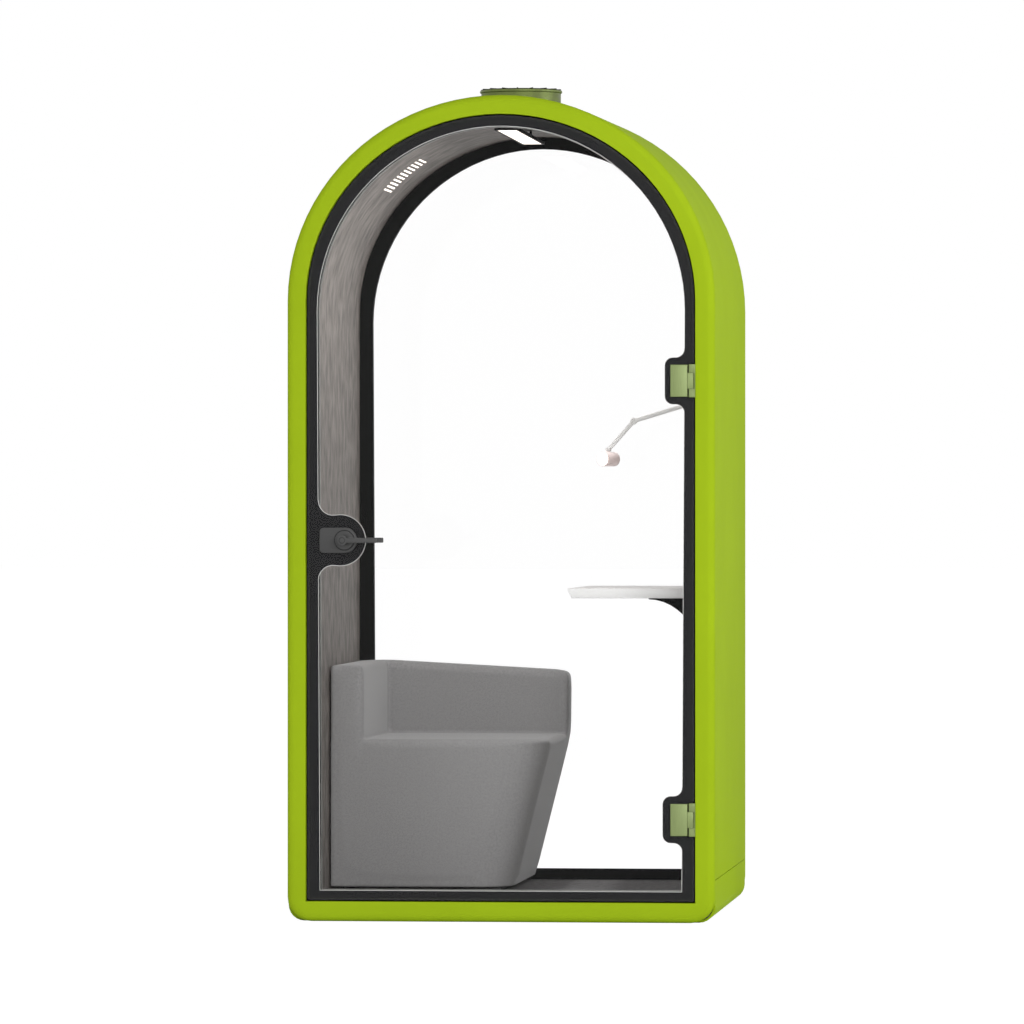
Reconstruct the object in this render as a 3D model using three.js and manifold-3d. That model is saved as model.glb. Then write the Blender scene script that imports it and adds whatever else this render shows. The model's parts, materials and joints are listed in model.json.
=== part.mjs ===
// Single-person acoustic office pod: an arched cabin with a glass door and a rear window,
// furnished with a bench, a desk and a lamp, and aired by a roof fan.
// Millimetres, +X right, +Y into the cabin, +Z up, origin on the floor under the middle of the base.

import * as THREE from 'three';
import { mergeVertices } from 'three/addons/utils/BufferGeometryUtils.js';
import Module from 'manifold-3d';

const wasm = await Module();
wasm.setup();

// Fits, and how far a cutter or a joined form runs past the face it meets
const gap = 0.3;
const runningFit = 0.1;
const over = 1;

// Cabin envelope
const width = 1182;
const depth = 1300;
const springHeight = 1711;
const archRise = 566;
const roofRise = 24;
const cornerRadius = 66;
const baseCorner = 44;
const archSteps = 44;
const cornerSteps = 6;

// Rims, shell and walls
const rimFace = 52;
const rimDepth = 40;
const rimRound = 22;
const rimRoundSteps = 4;
const floorLevel = 55;
const shadowGroove = 4;
const sheet = 6;
const flangeThick = 4;
const flangeLength = 25;
const seamHeight = 117;
const seamGap = 2;
const linerThick = 12;
const deckThick = 12;
const carpetThick = 4.7;

// Width of the black border round the clear glass, the same in the door and in the rear window
const borderSide = 30;
const borderFootSide = 38;
const borderFoot = 30;
const borderArchDrop = 28;
const borderCrown = 33;
const rearSideInset = 6;

// Door and rear window
const glassThick = 12;
const glassInset = 4;
const glassSetback = 4;
const filmThick = 1;
const filmInset = 6;
const sealWidth = 8;
const stopSetback = 28;
const frameDepth = 26;
const trimDepth = 6;
const trimReveal = 2.5;

// Hinges
const hingeAxisInset = 8;
const hingeAxisForward = 8;
const hingeHeights = { lower: 284, upper: 1489 };
const leafHeight = 88;
const leafThick = 8;
const leafNear = 13.5;
const leafFar = 60.5;
const tabHeight = 44;
const eyeRadius = 5.2;
const pinRadius = 2.9;
const blockHeight = 91;
const blockReach = 10;
const blockFront = 14;
const blockBack = 14;
const blockWeb = 2;
const glassNotch = 15;
const hingeRound = 1;
const pinShort = 1;
const notchClearance = 1.5;
const sealClearance = 3;
const hingeBulge = { reach: 54, half: 64, corner: 22, fillet: 24 };

// Lock
const spindleInset = 109;
const spindleHeight = 1051;
const spindleSide = 8;
const lockTail = 69.5;
const lockRadius = 35;
const lockCorner = 11;
const lockThick = 8;
const lockRound = 1.5;
const caseThick = 32;
const roseRadius = 26;
const roseThick = 6;
const neckRadius = 9;
const leverLength = 95.5;
const leverHeight = 14;
const leverThick = 10;
const leverRound = 2;
const leverCorner = 3;
const bossRadius = 13.5;
const leverStandoff = 40;
const socketDepth = 24;
const outerNeckSetback = 2;
const innerNeckSetback = 4;
const spindlePlay = 2;
const boltTip = 91;
const boltTail = 27;
const boltHalfHeight = 8;
const boltNear = 21;
const boltFar = 33;
const boltThrow = 12;
const boltPlay = 3;
const keeperHalf = 14;
const keeperThick = 1.7;
const lockBulge = { shift: -14, radius: 70, fillet: 42 };

// Bench
const benchClearance = 4;
const benchRearSpace = 75;
const benchWidth = 621;
const benchDepth = 709;
const benchLift = 13;
const seatRise = 430;
const seatTaper = 105;
const backRise = 641;
const backThick = 93;
const wingThick = 108;
const wingOverhang = 2;
const wingSlope = 29;
const benchRound = 14;
const benchCorner = 28;
const plinthInset = 34;

// Desk
const deskReach = 398;
const deskLength = 729;
const deskRearSpace = 75;
const deskRise = 859;
const deskThick = 28;
const deskBevel = 12;
const deskLip = 3;
const deskRound = 1.5;
const coveReach = 170;
const coveDrop = 220;
const coveLip = 3;
const coveToe = 8;
const bracketThick = 18;
const bracketInset = 24;
const bracketRearInset = 75;

// Lamp, in a group at its wall pivot
const lampStandoff = 25;
const lampDepth = 156;
const lampHeight = 1453;
const lampElbow = new THREE.Vector2(-211, -64);
const lampWrist = new THREE.Vector2(-284, -146);
const armRadius = 6;
const jointRadius = 10;
const jointThick = 5;
const lampPin = 3.9;
const lampPlateRadius = 28;
const lampPlateThick = 6;
const lampPostRadius = 8;
const lampPostTop = -18;
const lampPostLength = 18;
const lampStalkRadius = 6;
const lampPostFloor = 3;
const lampPinPlay = 1;
const cheekHalf = 5;
const cheekRadius = 8;
const wristCap = 2;
const stemRoot = 2;
const lampHeadRadius = 20.5;
const lampHeadLength = 60;
const lampHeadDrop = 27;
const lampHeadTurn = 29;
const wristHalf = 5;
const lensRadius = 17.7;
const lensThick = 3;

// Ceiling luminaire
const luminaireFront = -476;
const luminaireBack = 299;
const luminaireDepth = 36;
const luminaireHalf = 33;
const diffuserHalf = 27;
const diffuserThick = 5;
const diffuserMargin = 6;
const housingLip = 1;
const housingThick = 9;
const hangerRadius = 3.5;
const hangerInset = 70;

// Vent slots and roof fan
const slotCount = 11;
const slotWidth = 6;
const slotPitch = 13.3;
const slotMiddle = 131.5;
const slotFront = 65;
const slotBack = 247;
const slotCut = 96;
const fanY = -52;
const cowlRadius = 113;
const cowlLipRadius = 116.5;
const cowlBore = 104;
const cowlRise = 34;
const cowlLift = 1;
const cowlRecess = 12;
const cowlLipHeight = 6;
const cowlLipFlare = 2;
const cowlLipRound = 1.5;
const grilleThick = 4;
const grilleRadius = 107.5;
const grilleRings = [[36, 54], [60, 78], [84, 100]];
const grilleSpoke = 7;
const motorRadius = 32;
const motorHeight = 24;
const shaftRadius = 5;
const shaftLength = 28;
const hubHeight = 24;
const hubClearance = 2;
const bladeRoot = 4;
const bladeCount = 7;
const bladeReach = 97;
const bladeChord = 26;
const bladeThick = 3;
const bladePitch = 50;
const plenumMargin = 12;

// Derived places
const half = width / 2;
const front = -depth / 2;
const back = depth / 2;
const openingHalf = half - rimFace;
const openingRise = archRise - rimFace;
const wallFront = front + rimDepth;
const wallBack = back - rimDepth;
const glassMiddle = front + glassSetback + glassThick / 2;
const stopFront = front + stopSetback;
const stopBack = stopFront + frameDepth;
const hingeX = openingHalf - hingeAxisInset;
const deckTop = floorLevel - carpetThick;
const trimBack = stopBack + gap + trimDepth;
const apertureRadius = openingHalf - borderSide;
const apertureRise = openingRise + borderArchDrop - borderCrown;
const apertureFootHalf = openingHalf - borderFootSide;
const apertureSpring = springHeight - borderArchDrop;
const apertureFoot = floorLevel + borderFoot;
const spindleX = spindleInset - openingHalf;
const benchLeft = benchClearance - openingHalf;
const benchBack = back - benchRearSpace;
const benchFront = benchBack - benchDepth;
const benchFoot = floorLevel + benchLift;
const seatHeight = floorLevel + seatRise;
const seatRight = benchLeft + benchWidth;
const seatFootRight = seatRight - seatTaper;
const backTop = floorLevel + backRise;
const wingRight = seatRight + wingOverhang;
const wingRightTop = backTop - wingSlope;
const wallRight = openingHalf - gap;
const deskLeft = openingHalf - deskReach;
const deskBack = back - deskRearSpace;
const deskFront = deskBack - deskLength;
const deskTop = floorLevel + deskRise;
const deskFoot = deskTop - deskThick;
const crown = springHeight + openingRise;
const luminaireBottom = crown - luminaireDepth;
const roofAtFan = springHeight + archRise + roofRise * (fanY - front) / depth;
const cowlTop = roofAtFan + cowlRise;
const cowlFoot = crown + linerThick + cowlLift;
const grilleSeat = cowlTop - cowlRecess;

// Finishes
const finish = (color, roughness, metalness = 0) => (
  new THREE.MeshStandardMaterial({ color, roughness, metalness })
);
const greenPaint = finish(0x9fbd21, 0.45);
const blackPaint = finish(0x18191a, 0.5);
const blackPrint = finish(0x2d2d2f, 0.3);
const clearGlass = finish(0xe8efec, 0.03);
clearGlass.transparent = true;
clearGlass.opacity = 0.15;
const greyPanel = finish(0x807a75, 0.6);
const greyCarpet = finish(0x58585a, 0.95);
const greyFelt = finish(0x6e7072, 0.95);
const plywood = finish(0xb9986a, 0.7);
const blackRubber = finish(0x202020, 0.8);
const paleTrim = finish(0xb9b8b3, 0.35, 0.8);
const hingeMetal = finish(0x96a569, 0.35, 0.7);
const darkMetal = finish(0x4c4c4c, 0.4, 0.8);
const steel = finish(0xa8aaab, 0.3, 0.9);
const greyFabric = finish(0x848484, 0.9);
const whiteTop = finish(0xeeeeec, 0.4);
const whitePaint = finish(0xdedfdf, 0.35);
const glowFace = finish(0xfff6e8, 0.4);
glowFace.emissive = new THREE.Color(0xfff1dc);
const blackPlastic = finish(0x262626, 0.5);
const galvanised = finish(0x7f8a7c, 0.4, 0.8);

// Closed body of a geometry, ready to be joined, cut and overlapped
function solid(geometry) {
  geometry.deleteAttribute('normal');
  geometry.deleteAttribute('uv');
  const merged = mergeVertices(geometry);
  const triVerts = new Uint32Array(merged.index.array);
  const vertProperties = merged.attributes.position.array;
  return new wasm.Manifold(new wasm.Mesh({ numProp: 3, vertProperties, triVerts }));
}

const pod = new THREE.Group();
pod.name = 'acoustic_office_pod';

function piece(name, form, material, parent = pod) {
  const { vertProperties, triVerts } = form.getMesh();
  const geometry = new THREE.BufferGeometry();
  geometry.setAttribute('position', new THREE.BufferAttribute(vertProperties, 3));
  geometry.setIndex(new THREE.BufferAttribute(triVerts, 1));
  geometry.computeVertexNormals();
  const mesh = new THREE.Mesh(geometry, material);
  mesh.name = name;
  parent.add(mesh);
}

function groupAt(x, y, z) {
  const group = new THREE.Group();
  group.position.set(x, y, z);
  pod.add(group);
  return group;
}

// Outlines are points in the front plane, x to the right and z up
const point = (x, z) => new THREE.Vector2(x, z);

function arc(x, z, radiusX, radiusZ, from, to, steps) {
  return new THREE.EllipseCurve(x, z, radiusX, radiusZ, from, to, to < from).getPoints(steps);
}

function rimOutline(inset, corner = cornerRadius) {
  const side = half - inset;
  const radius = corner - inset;
  const low = inset + radius;
  return [
    ...arc(-side + radius, low, radius, radius, Math.PI, 1.5 * Math.PI, cornerSteps),
    ...arc(side - radius, low, radius, radius, 1.5 * Math.PI, 2 * Math.PI, cornerSteps),
    ...arc(0, springHeight, side, archRise - inset, 0, Math.PI, archSteps),
  ];
}

function openingOutline(inset, low = floorLevel + inset) {
  const side = openingHalf - inset;
  return [
    point(-side, low),
    point(side, low),
    ...arc(0, springHeight, side, openingRise - inset, 0, Math.PI, archSteps),
  ];
}

function apertureOutline(inset = 0, sideInset = inset) {
  const foot = apertureFootHalf - sideInset;
  const low = apertureFoot + inset;
  return [
    point(-foot, low),
    point(foot, low),
    ...arc(0, apertureSpring, apertureRadius - sideInset, apertureRise - inset, 0, Math.PI, archSteps),
  ];
}

// Polygon with rounded corners
function roundedOutline(corners, radius, steps = 4) {
  return corners.flatMap((corner, i) => {
    const before = corners[(i + corners.length - 1) % corners.length];
    const after = corners[(i + 1) % corners.length];
    const start = corner.clone().add(before.clone().sub(corner).setLength(radius));
    const end = corner.clone().add(after.clone().sub(corner).setLength(radius));
    return new THREE.QuadraticBezierCurve(start, corner, end).getPoints(steps);
  });
}

// The roof climbs towards the rear, so the outer vault above its spring line is drawn up with it
function raiseRoof(geometry) {
  const place = geometry.attributes.position;
  for (let i = 0; i < place.count; i++) {
    const above = Math.max(0, place.getZ(i) - springHeight);
    const along = (place.getY(i) - front) / depth;
    place.setZ(i, place.getZ(i) + roofRise * along * above / archRise);
  }
}

// Outline carried through the depth, with both end edges rounded where a radius is given
function prism(points, yFront, yBack, { round = 0, steps = 1, raised = false } = {}) {
  const geometry = new THREE.ExtrudeGeometry(new THREE.Shape(points), {
    depth: yBack - yFront - 2 * round,
    bevelEnabled: round > 0,
    bevelThickness: round,
    bevelSize: round,
    bevelOffset: -round,
    bevelSegments: steps,
  });
  geometry.rotateX(Math.PI / 2);
  geometry.translate(0, yBack - round, 0);
  if (raised) {
    raiseRoof(geometry);
  }
  return solid(geometry);
}

function box(x, y, z) {
  const geometry = new THREE.BoxGeometry(x[1] - x[0], y[1] - y[0], z[1] - z[0]);
  geometry.translate((x[0] + x[1]) / 2, (y[0] + y[1]) / 2, (z[0] + z[1]) / 2);
  return solid(geometry);
}

function rod(from, to, radius, sides = 24) {
  const start = new THREE.Vector3(...from);
  const run = new THREE.Vector3(...to).sub(start);
  const geometry = new THREE.CylinderGeometry(radius, radius, run.length(), sides);
  const turn = new THREE.Quaternion().setFromUnitVectors(new THREE.Vector3(0, 1, 0), run.clone().normalize());
  geometry.applyQuaternion(turn);
  geometry.translate(start.x + run.x / 2, start.y + run.y / 2, start.z + run.z / 2);
  return solid(geometry);
}

const far = 3000;
const above = (z) => box([-far, far], [-far, far], [z, far]);
const below = (z) => box([-far, far], [-far, far], [-far, z]);
const between = (yFront, yBack) => box([-far, far], [yFront, yBack], [-far, far]);

// Base, floor and walls
const shellFront = wallFront + shadowGroove;
const shellBack = wallBack - shadowGroove;
const coreFront = wallFront + flangeLength + gap;
const coreBack = wallBack - flangeLength - gap;
const skin = (raised) => prism(rimOutline(0, baseCorner), shellFront, shellBack, { raised })
  .subtract(prism(rimOutline(sheet, baseCorner), shellFront - over, shellBack + over, { raised }));
piece('base_tray', skin(false).intersect(below(seamHeight - seamGap / 2)), greenPaint);

const fanBore = rod([0, fanY, springHeight], [0, fanY, far], cowlRadius + gap, 48);
piece('outer_shell', skin(true).intersect(above(seamHeight + seamGap / 2)).subtract(fanBore), greenPaint);

const slotAngle = (i) => (
  THREE.MathUtils.degToRad(slotMiddle) + (i - (slotCount - 1) / 2) * slotPitch / openingHalf
);
const plenumRoom = box(
  [openingHalf * Math.cos(slotAngle(slotCount)) - plenumMargin, cowlRadius + plenumMargin],
  [fanY - cowlRadius - plenumMargin, slotBack + plenumMargin],
  [springHeight, far],
);
const coreOutline = rimOutline(sheet + gap, baseCorner);
const wallCore = prism(coreOutline, coreFront, coreBack, { raised: true })
  .subtract(prism(openingOutline(-linerThick - gap, -far), coreFront - over, coreBack + over))
  .intersect(above(deckTop + gap))
  .subtract(plenumRoom);
piece('wall_core', wallCore, greyFelt);

const slots = Array.from({ length: slotCount }, (_, i) => {
  const angle = slotAngle(i);
  const geometry = new THREE.BoxGeometry(slotCut, slotBack - slotFront, slotWidth);
  geometry.rotateY(-angle);
  geometry.translate(
    openingHalf * Math.cos(angle),
    (slotFront + slotBack) / 2,
    springHeight + openingRise * Math.sin(angle),
  );
  return solid(geometry);
});
const lining = prism(openingOutline(-linerThick, deckTop + gap), wallFront + gap, wallBack - gap)
  .subtract(prism(openingOutline(0, -far), front, back));
piece('lining', slots.reduce((panel, slot) => panel.subtract(slot), lining), greyPanel);

const deckBottom = deckTop - deckThick;
const floorLayer = (bottom, top) => box([-far, far], [coreFront, coreBack], [bottom, top])
  .intersect(prism(coreOutline, front, back));
piece('floor_core', floorLayer(-far, deckBottom - gap), greyFelt);
piece('floor_deck', floorLayer(deckBottom, deckTop), plywood);
const carpetHalf = openingHalf - gap;
piece(
  'carpet',
  box([-carpetHalf, carpetHalf], [wallFront + gap, wallBack - gap], [deckTop + gap, floorLevel - gap]),
  greyCarpet,
);

// Front and rear rims, each with a flange that carries the end of the shell
const rimBlank = 4 * rimDepth;
const flange = (yFront, yBack) => prism(rimOutline(sheet + gap), yFront, yBack, { raised: true })
  .subtract(prism(rimOutline(sheet + gap + flangeThick), yFront - over, yBack + over, { raised: true }));
const rimOptions = { round: rimRound, steps: rimRoundSteps, raised: true };
const rimHole = prism(openingOutline(0), front - over, back + over);
const frontRim = prism(rimOutline(0), front, front + rimBlank, rimOptions)
  .intersect(between(-far, wallFront))
  .add(flange(wallFront - over, wallFront + flangeLength))
  .subtract(rimHole);
piece('front_rim', frontRim, greenPaint);
const rearRim = prism(rimOutline(0), back - rimBlank, back, rimOptions)
  .intersect(between(wallBack, far))
  .add(flange(wallBack - flangeLength, wallBack + over))
  .subtract(rimHole);
piece('rear_rim', rearRim, greenPaint);

// Frames, edging strips and rear window
const frameRing = (reveal, yFront, yBack, sideInset = 0) => prism(openingOutline(gap), yFront, yBack)
  .subtract(prism(apertureOutline(reveal, reveal + sideInset), yFront - over, yBack + over));
const keeperX = spindleX - boltTip - boltThrow / 3;
const keeperNotch = box(
  [keeperX - keeperThick - gap, -apertureFootHalf + over],
  [stopFront - over, glassMiddle + boltFar + boltThrow / 2],
  [spindleHeight - keeperHalf - gap, spindleHeight + keeperHalf + gap],
);
piece('door_stop_frame', frameRing(0, stopFront, stopBack).subtract(keeperNotch), blackPaint);
piece(
  'latch_keeper',
  box(
    [keeperX - keeperThick, keeperX],
    [stopFront, glassMiddle + boltFar + boltThrow / 2 - gap],
    [spindleHeight - keeperHalf, spindleHeight + keeperHalf],
  ),
  steel,
);
piece('front_edging', frameRing(trimReveal, stopBack + gap, trimBack), paleTrim);
piece('rear_edging', frameRing(trimReveal, -trimBack, -stopBack - gap, rearSideInset), blackPaint);
piece('rear_frame', frameRing(0, -stopBack, -stopFront, rearSideInset), blackPaint);

const sealRing = (yFront, yBack) => prism(openingOutline(glassInset), yFront, yBack)
  .subtract(prism(openingOutline(glassInset + sealWidth), yFront - over, yBack + over));
const filmFront = glassMiddle + glassThick / 2 + gap;
const filmBack = filmFront + filmThick;
piece('rear_gasket', sealRing(-stopFront + gap, -filmBack - gap), blackRubber);
const paneOutline = openingOutline(glassInset);
const aperture = prism(apertureOutline(), front, back);
const filmOutline = openingOutline(glassInset + filmInset);
const rearAperture = prism(apertureOutline(0, rearSideInset), front, back);
piece('rear_border', prism(filmOutline, -filmBack, -filmFront).subtract(rearAperture), blackPrint);
const rearPane = prism(paneOutline, -glassMiddle - glassThick / 2, -glassMiddle + glassThick / 2);
piece('rear_glass', rearPane, clearGlass);

const sealBreak = blockHeight / 2 + sealClearance;
const hingeSide = (bottom, top) => box([hingeX - 2 * leafFar, far], [-far, far], [bottom, top]);
const doorSeal = sealRing(filmBack + gap, stopFront - gap);
piece(
  'door_seal',
  doorSeal.subtract(hingeSide(hingeHeights.lower - sealBreak, hingeHeights.upper + sealBreak)),
  blackRubber,
);
piece(
  'door_seal_hinge_side',
  doorSeal.intersect(hingeSide(hingeHeights.lower + sealBreak, hingeHeights.upper - sealBreak)),
  blackRubber,
);

// Door glass with hinge notches, and its printed border swelling round the lock and the hinges
const notches = Object.values(hingeHeights).map((height) => box(
  [hingeX - glassNotch, far],
  [-far, far],
  [height - blockHeight / 2 - notchClearance, height + blockHeight / 2 + notchClearance],
));
const spindleHole = rod([spindleX, front, spindleHeight], [spindleX, 0, spindleHeight], neckRadius);
const cutForFittings = (form) => (
  notches.reduce((rest, notch) => rest.subtract(notch), form).subtract(spindleHole)
);

const apertureHalfAt = (z) => apertureFootHalf
  + (apertureRadius - apertureFootHalf) * (z - apertureFoot) / (apertureSpring - apertureFoot);
const borderOverlap = 12;

function lockBulgeOutline() {
  const edge = -apertureHalfAt(spindleHeight);
  const { shift, radius, fillet } = lockBulge;
  const middle = spindleX + shift;
  const filletX = edge + fillet;
  const rise = Math.sqrt((radius + fillet) ** 2 - (filletX - middle) ** 2);
  const turn = Math.atan2(rise, filletX - middle);
  return [
    point(edge - borderOverlap, spindleHeight - rise),
    ...arc(filletX, spindleHeight - rise, fillet, fillet, Math.PI, Math.PI - turn, cornerSteps),
    ...arc(middle, spindleHeight, radius, radius, -turn, turn, 4 * cornerSteps),
    ...arc(filletX, spindleHeight + rise, fillet, fillet, Math.PI + turn, Math.PI, cornerSteps),
    point(edge - borderOverlap, spindleHeight + rise),
  ];
}

function hingeBulgeOutline(height) {
  const edge = apertureHalfAt(height);
  const { reach, half: halfHeight, corner, fillet } = hingeBulge;
  const cornerX = edge - reach + corner;
  const quarter = Math.PI / 2;
  return [
    point(edge + borderOverlap, height + halfHeight + fillet),
    ...arc(edge - fillet, height + halfHeight + fillet, fillet, fillet, 0, -quarter, cornerSteps),
    ...arc(cornerX, height + halfHeight - corner, corner, corner, quarter, 2 * quarter, cornerSteps),
    ...arc(cornerX, height - halfHeight + corner, corner, corner, 2 * quarter, 3 * quarter, cornerSteps),
    ...arc(edge - fillet, height - halfHeight - fillet, fillet, fillet, quarter, 0, cornerSteps),
    point(edge + borderOverlap, height - halfHeight - fillet),
  ];
}

const bulges = [
  lockBulgeOutline(),
  ...Object.values(hingeHeights).map(hingeBulgeOutline),
];
const doorBorder = bulges.reduce(
  (border, bulge) => border.add(prism(bulge, filmFront, filmBack)),
  prism(filmOutline, filmFront, filmBack).subtract(aperture),
);
piece('door_border', cutForFittings(doorBorder), blackPrint);
const doorPane = prism(paneOutline, glassMiddle - glassThick / 2, glassMiddle + glassThick / 2);
piece('door_glass', cutForFittings(doorPane), clearGlass);

// Hinges, each in a group at its height: fixed block and pin, two leaves clamped on the glass.
// The axis stands in front of the pane, so that its edge swings clear of the narrowing arch.
const rectangle = (left, right, halfHeight) => [
  point(left, -halfHeight),
  point(right, -halfHeight),
  point(right, halfHeight),
  point(left, halfHeight),
];
const glassFace = glassThick / 2 + gap;
const leafBackFace = filmBack + gap - glassMiddle;
const blockRight = hingeAxisInset - gap;
const axisRod = (reach, radius) => rod([0, -hingeAxisForward, -reach], [0, -hingeAxisForward, reach], radius);
for (const [place, height] of Object.entries(hingeHeights)) {
  const hinge = groupAt(hingeX, glassMiddle, height);
  const halfTab = tabHeight / 2;
  const blockSlot = box(
    [-2 * blockReach, blockRight - blockWeb],
    [-far, far],
    [-halfTab - gap, halfTab + gap],
  );
  const blockOutline = rectangle(-blockReach, blockRight, blockHeight / 2);
  const block = prism(blockOutline, -blockFront, blockBack, { round: hingeRound })
    .subtract(blockSlot)
    .subtract(axisRod(blockHeight, pinRadius + gap));
  piece(`hinge_${place}_block`, block, hingeMetal, hinge);
  const pinHalf = blockHeight / 2 - pinShort;
  piece(`hinge_${place}_pin`, axisRod(pinHalf, pinRadius), steel, hinge);
  const leafOutline = rectangle(-leafFar, -leafNear, leafHeight / 2);
  const outerLeaf = prism(leafOutline, -glassFace - leafThick, -glassFace, { round: hingeRound })
    .add(box(
      [-leafNear - over, 0],
      [-hingeAxisForward - eyeRadius, eyeRadius - hingeAxisForward],
      [-halfTab, halfTab],
    ))
    .add(axisRod(halfTab, eyeRadius))
    .subtract(axisRod(tabHeight, pinRadius + runningFit));
  piece(`hinge_${place}_leaf_outer`, outerLeaf, hingeMetal, hinge);
  const innerLeaf = prism(leafOutline, leafBackFace, leafBackFace + leafThick, { round: hingeRound });
  piece(`hinge_${place}_leaf_inner`, innerLeaf, hingeMetal, hinge);
}

// Lock, in a group on the spindle axis
const lock = groupAt(spindleX, glassMiddle, spindleHeight);
const tailX = lockCorner - lockTail;
const tailZ = lockRadius - lockCorner;
const lockOutline = [
  ...arc(0, 0, lockRadius, lockRadius, -Math.PI / 2, Math.PI / 2, 2 * cornerSteps),
  ...arc(tailX, tailZ, lockCorner, lockCorner, Math.PI / 2, Math.PI, cornerSteps),
  ...arc(tailX, -tailZ, lockCorner, lockCorner, Math.PI, 1.5 * Math.PI, cornerSteps),
];
const lockOptions = { round: lockRound, steps: 2 };
const neckBore = rod([0, -far, 0], [0, far, 0], neckRadius + runningFit, 32);
const plateFront = -glassFace - lockThick;
const outerRose = plateFront - roseThick;
const lockPlate = prism(lockOutline, plateFront, -glassFace, lockOptions)
  .add(rod([0, outerRose, 0], [0, plateFront + over, 0], roseRadius, 32))
  .subtract(neckBore);
piece('lock_plate_outer', lockPlate, darkMetal, lock);
const caseBack = leafBackFace + caseThick;
const innerRose = caseBack + roseThick;
const boltRoom = box(
  [-far, -boltTail + boltThrow + boltPlay],
  [boltNear - runningFit, boltFar + runningFit],
  [-boltHalfHeight - runningFit, boltHalfHeight + runningFit],
);
const lockCase = prism(lockOutline, leafBackFace, caseBack, lockOptions)
  .add(rod([0, caseBack - over, 0], [0, innerRose, 0], roseRadius, 32))
  .subtract(neckBore)
  .subtract(boltRoom);
piece('lock_case_inner', lockCase, darkMetal, lock);

const spindleHalf = spindleSide / 2;
const socketHalf = spindleHalf + gap;
const socket = (yFront, yBack) => box([-socketHalf, socketHalf], [yFront, yBack], [-socketHalf, socketHalf]);
const leverOptions = { round: leverRound, steps: 2 };
const leverOutline = roundedOutline([
  point(0, -leverHeight / 2),
  point(leverLength, -leverHeight / 2),
  point(leverLength, leverHeight / 2),
  point(0, leverHeight / 2),
], leverCorner, 3);
const leverBar = (yFront, yBack) => prism(leverOutline, yFront, yBack, leverOptions)
  .add(rod([0, yFront, 0], [0, yBack, 0], bossRadius, 32));
const outerNeck = -glassFace - outerNeckSetback;
const outerGrip = outerRose - leverStandoff;
const leverOuter = leverBar(outerGrip - leverThick, outerGrip)
  .add(rod([0, outerGrip - leverThick / 2, 0], [0, outerNeck, 0], neckRadius, 32))
  .subtract(socket(outerNeck - socketDepth, outerNeck + over));
piece('lever_outer', leverOuter, darkMetal, lock);
const innerNeck = leafBackFace + innerNeckSetback;
const innerGrip = innerRose + leverStandoff;
const leverInner = leverBar(innerGrip, innerGrip + leverThick)
  .add(rod([0, innerNeck, 0], [0, innerGrip + leverThick / 2, 0], neckRadius, 32))
  .subtract(socket(innerNeck - over, innerNeck + socketDepth));
piece('lever_inner', leverInner, darkMetal, lock);
const spindle = box(
  [-spindleHalf, spindleHalf],
  [outerNeck - socketDepth + spindlePlay, innerNeck + socketDepth - spindlePlay],
  [-spindleHalf, spindleHalf],
);
piece('lock_spindle', spindle, steel, lock);
const bolt = box([-boltTip, -boltTail], [boltNear, boltFar], [-boltHalfHeight, boltHalfHeight]);
piece('latch_bolt', bolt, steel, lock);

// Bench: one padded form over three cushions and a plinth
const cushion = { round: benchRound, steps: 4 };
const seatForm = prism(roundedOutline([
  point(benchLeft, benchFoot),
  point(seatFootRight, benchFoot),
  point(seatRight, seatHeight),
  point(benchLeft, seatHeight),
], benchCorner), benchFront, benchBack, cushion);
const backForm = prism(roundedOutline([
  point(benchLeft, benchFoot),
  point(benchLeft + backThick, benchFoot),
  point(benchLeft + backThick, backTop),
  point(benchLeft, backTop),
], benchCorner), benchFront, benchBack, cushion);
const wingFront = benchBack - wingThick;
const wingForm = prism(roundedOutline([
  point(benchLeft, benchFoot),
  point(seatFootRight, benchFoot),
  point(seatRight, seatHeight),
  point(wingRight, wingRightTop),
  point(benchLeft + backThick, backTop),
  point(benchLeft, backTop),
], benchCorner), wingFront, benchBack, cushion);
const benchForm = seatForm.add(backForm).add(wingForm);
const backrestRoom = box([-far, benchLeft + backThick], [-far, far], [-far, far]);
const seatRoom = box([benchLeft + backThick + gap, far], [-far, wingFront - gap], [-far, far]);
const wingRoom = box([benchLeft + backThick + gap, far], [wingFront, far], [-far, far]);
piece('bench_backrest', benchForm.intersect(backrestRoom), greyFabric);
piece('bench_seat', benchForm.intersect(seatRoom), greyFabric);
piece('bench_wing', benchForm.intersect(wingRoom), greyFabric);
piece(
  'bench_plinth',
  box(
    [benchLeft + plinthInset, seatFootRight - plinthInset],
    [benchFront + plinthInset, benchBack - plinthInset],
    [floorLevel, benchFoot - gap],
  ),
  blackPlastic,
);

// Desk on two cove brackets against the right wall
piece('desk_top', prism([
  point(deskLeft + deskBevel, deskFoot),
  point(wallRight, deskFoot),
  point(wallRight, deskTop),
  point(deskLeft, deskTop),
  point(deskLeft, deskTop - deskLip),
], deskFront, deskBack, { round: deskRound, steps: 2 }), whiteTop);
const cove = [
  point(-coveReach, 0),
  ...arc(-coveReach, -coveDrop, coveReach - coveToe, coveDrop - coveLip, Math.PI / 2, 0, 2 * cornerSteps),
  point(0, -coveDrop),
  point(0, 0),
];
const bracketFronts = { front: deskFront + bracketInset, rear: deskBack - bracketRearInset };
for (const [place, yFront] of Object.entries(bracketFronts)) {
  const bracket = groupAt(wallRight, yFront, deskFoot - gap);
  piece(`desk_bracket_${place}`, prism(cove, 0, bracketThick), blackPaint, bracket);
}

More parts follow.
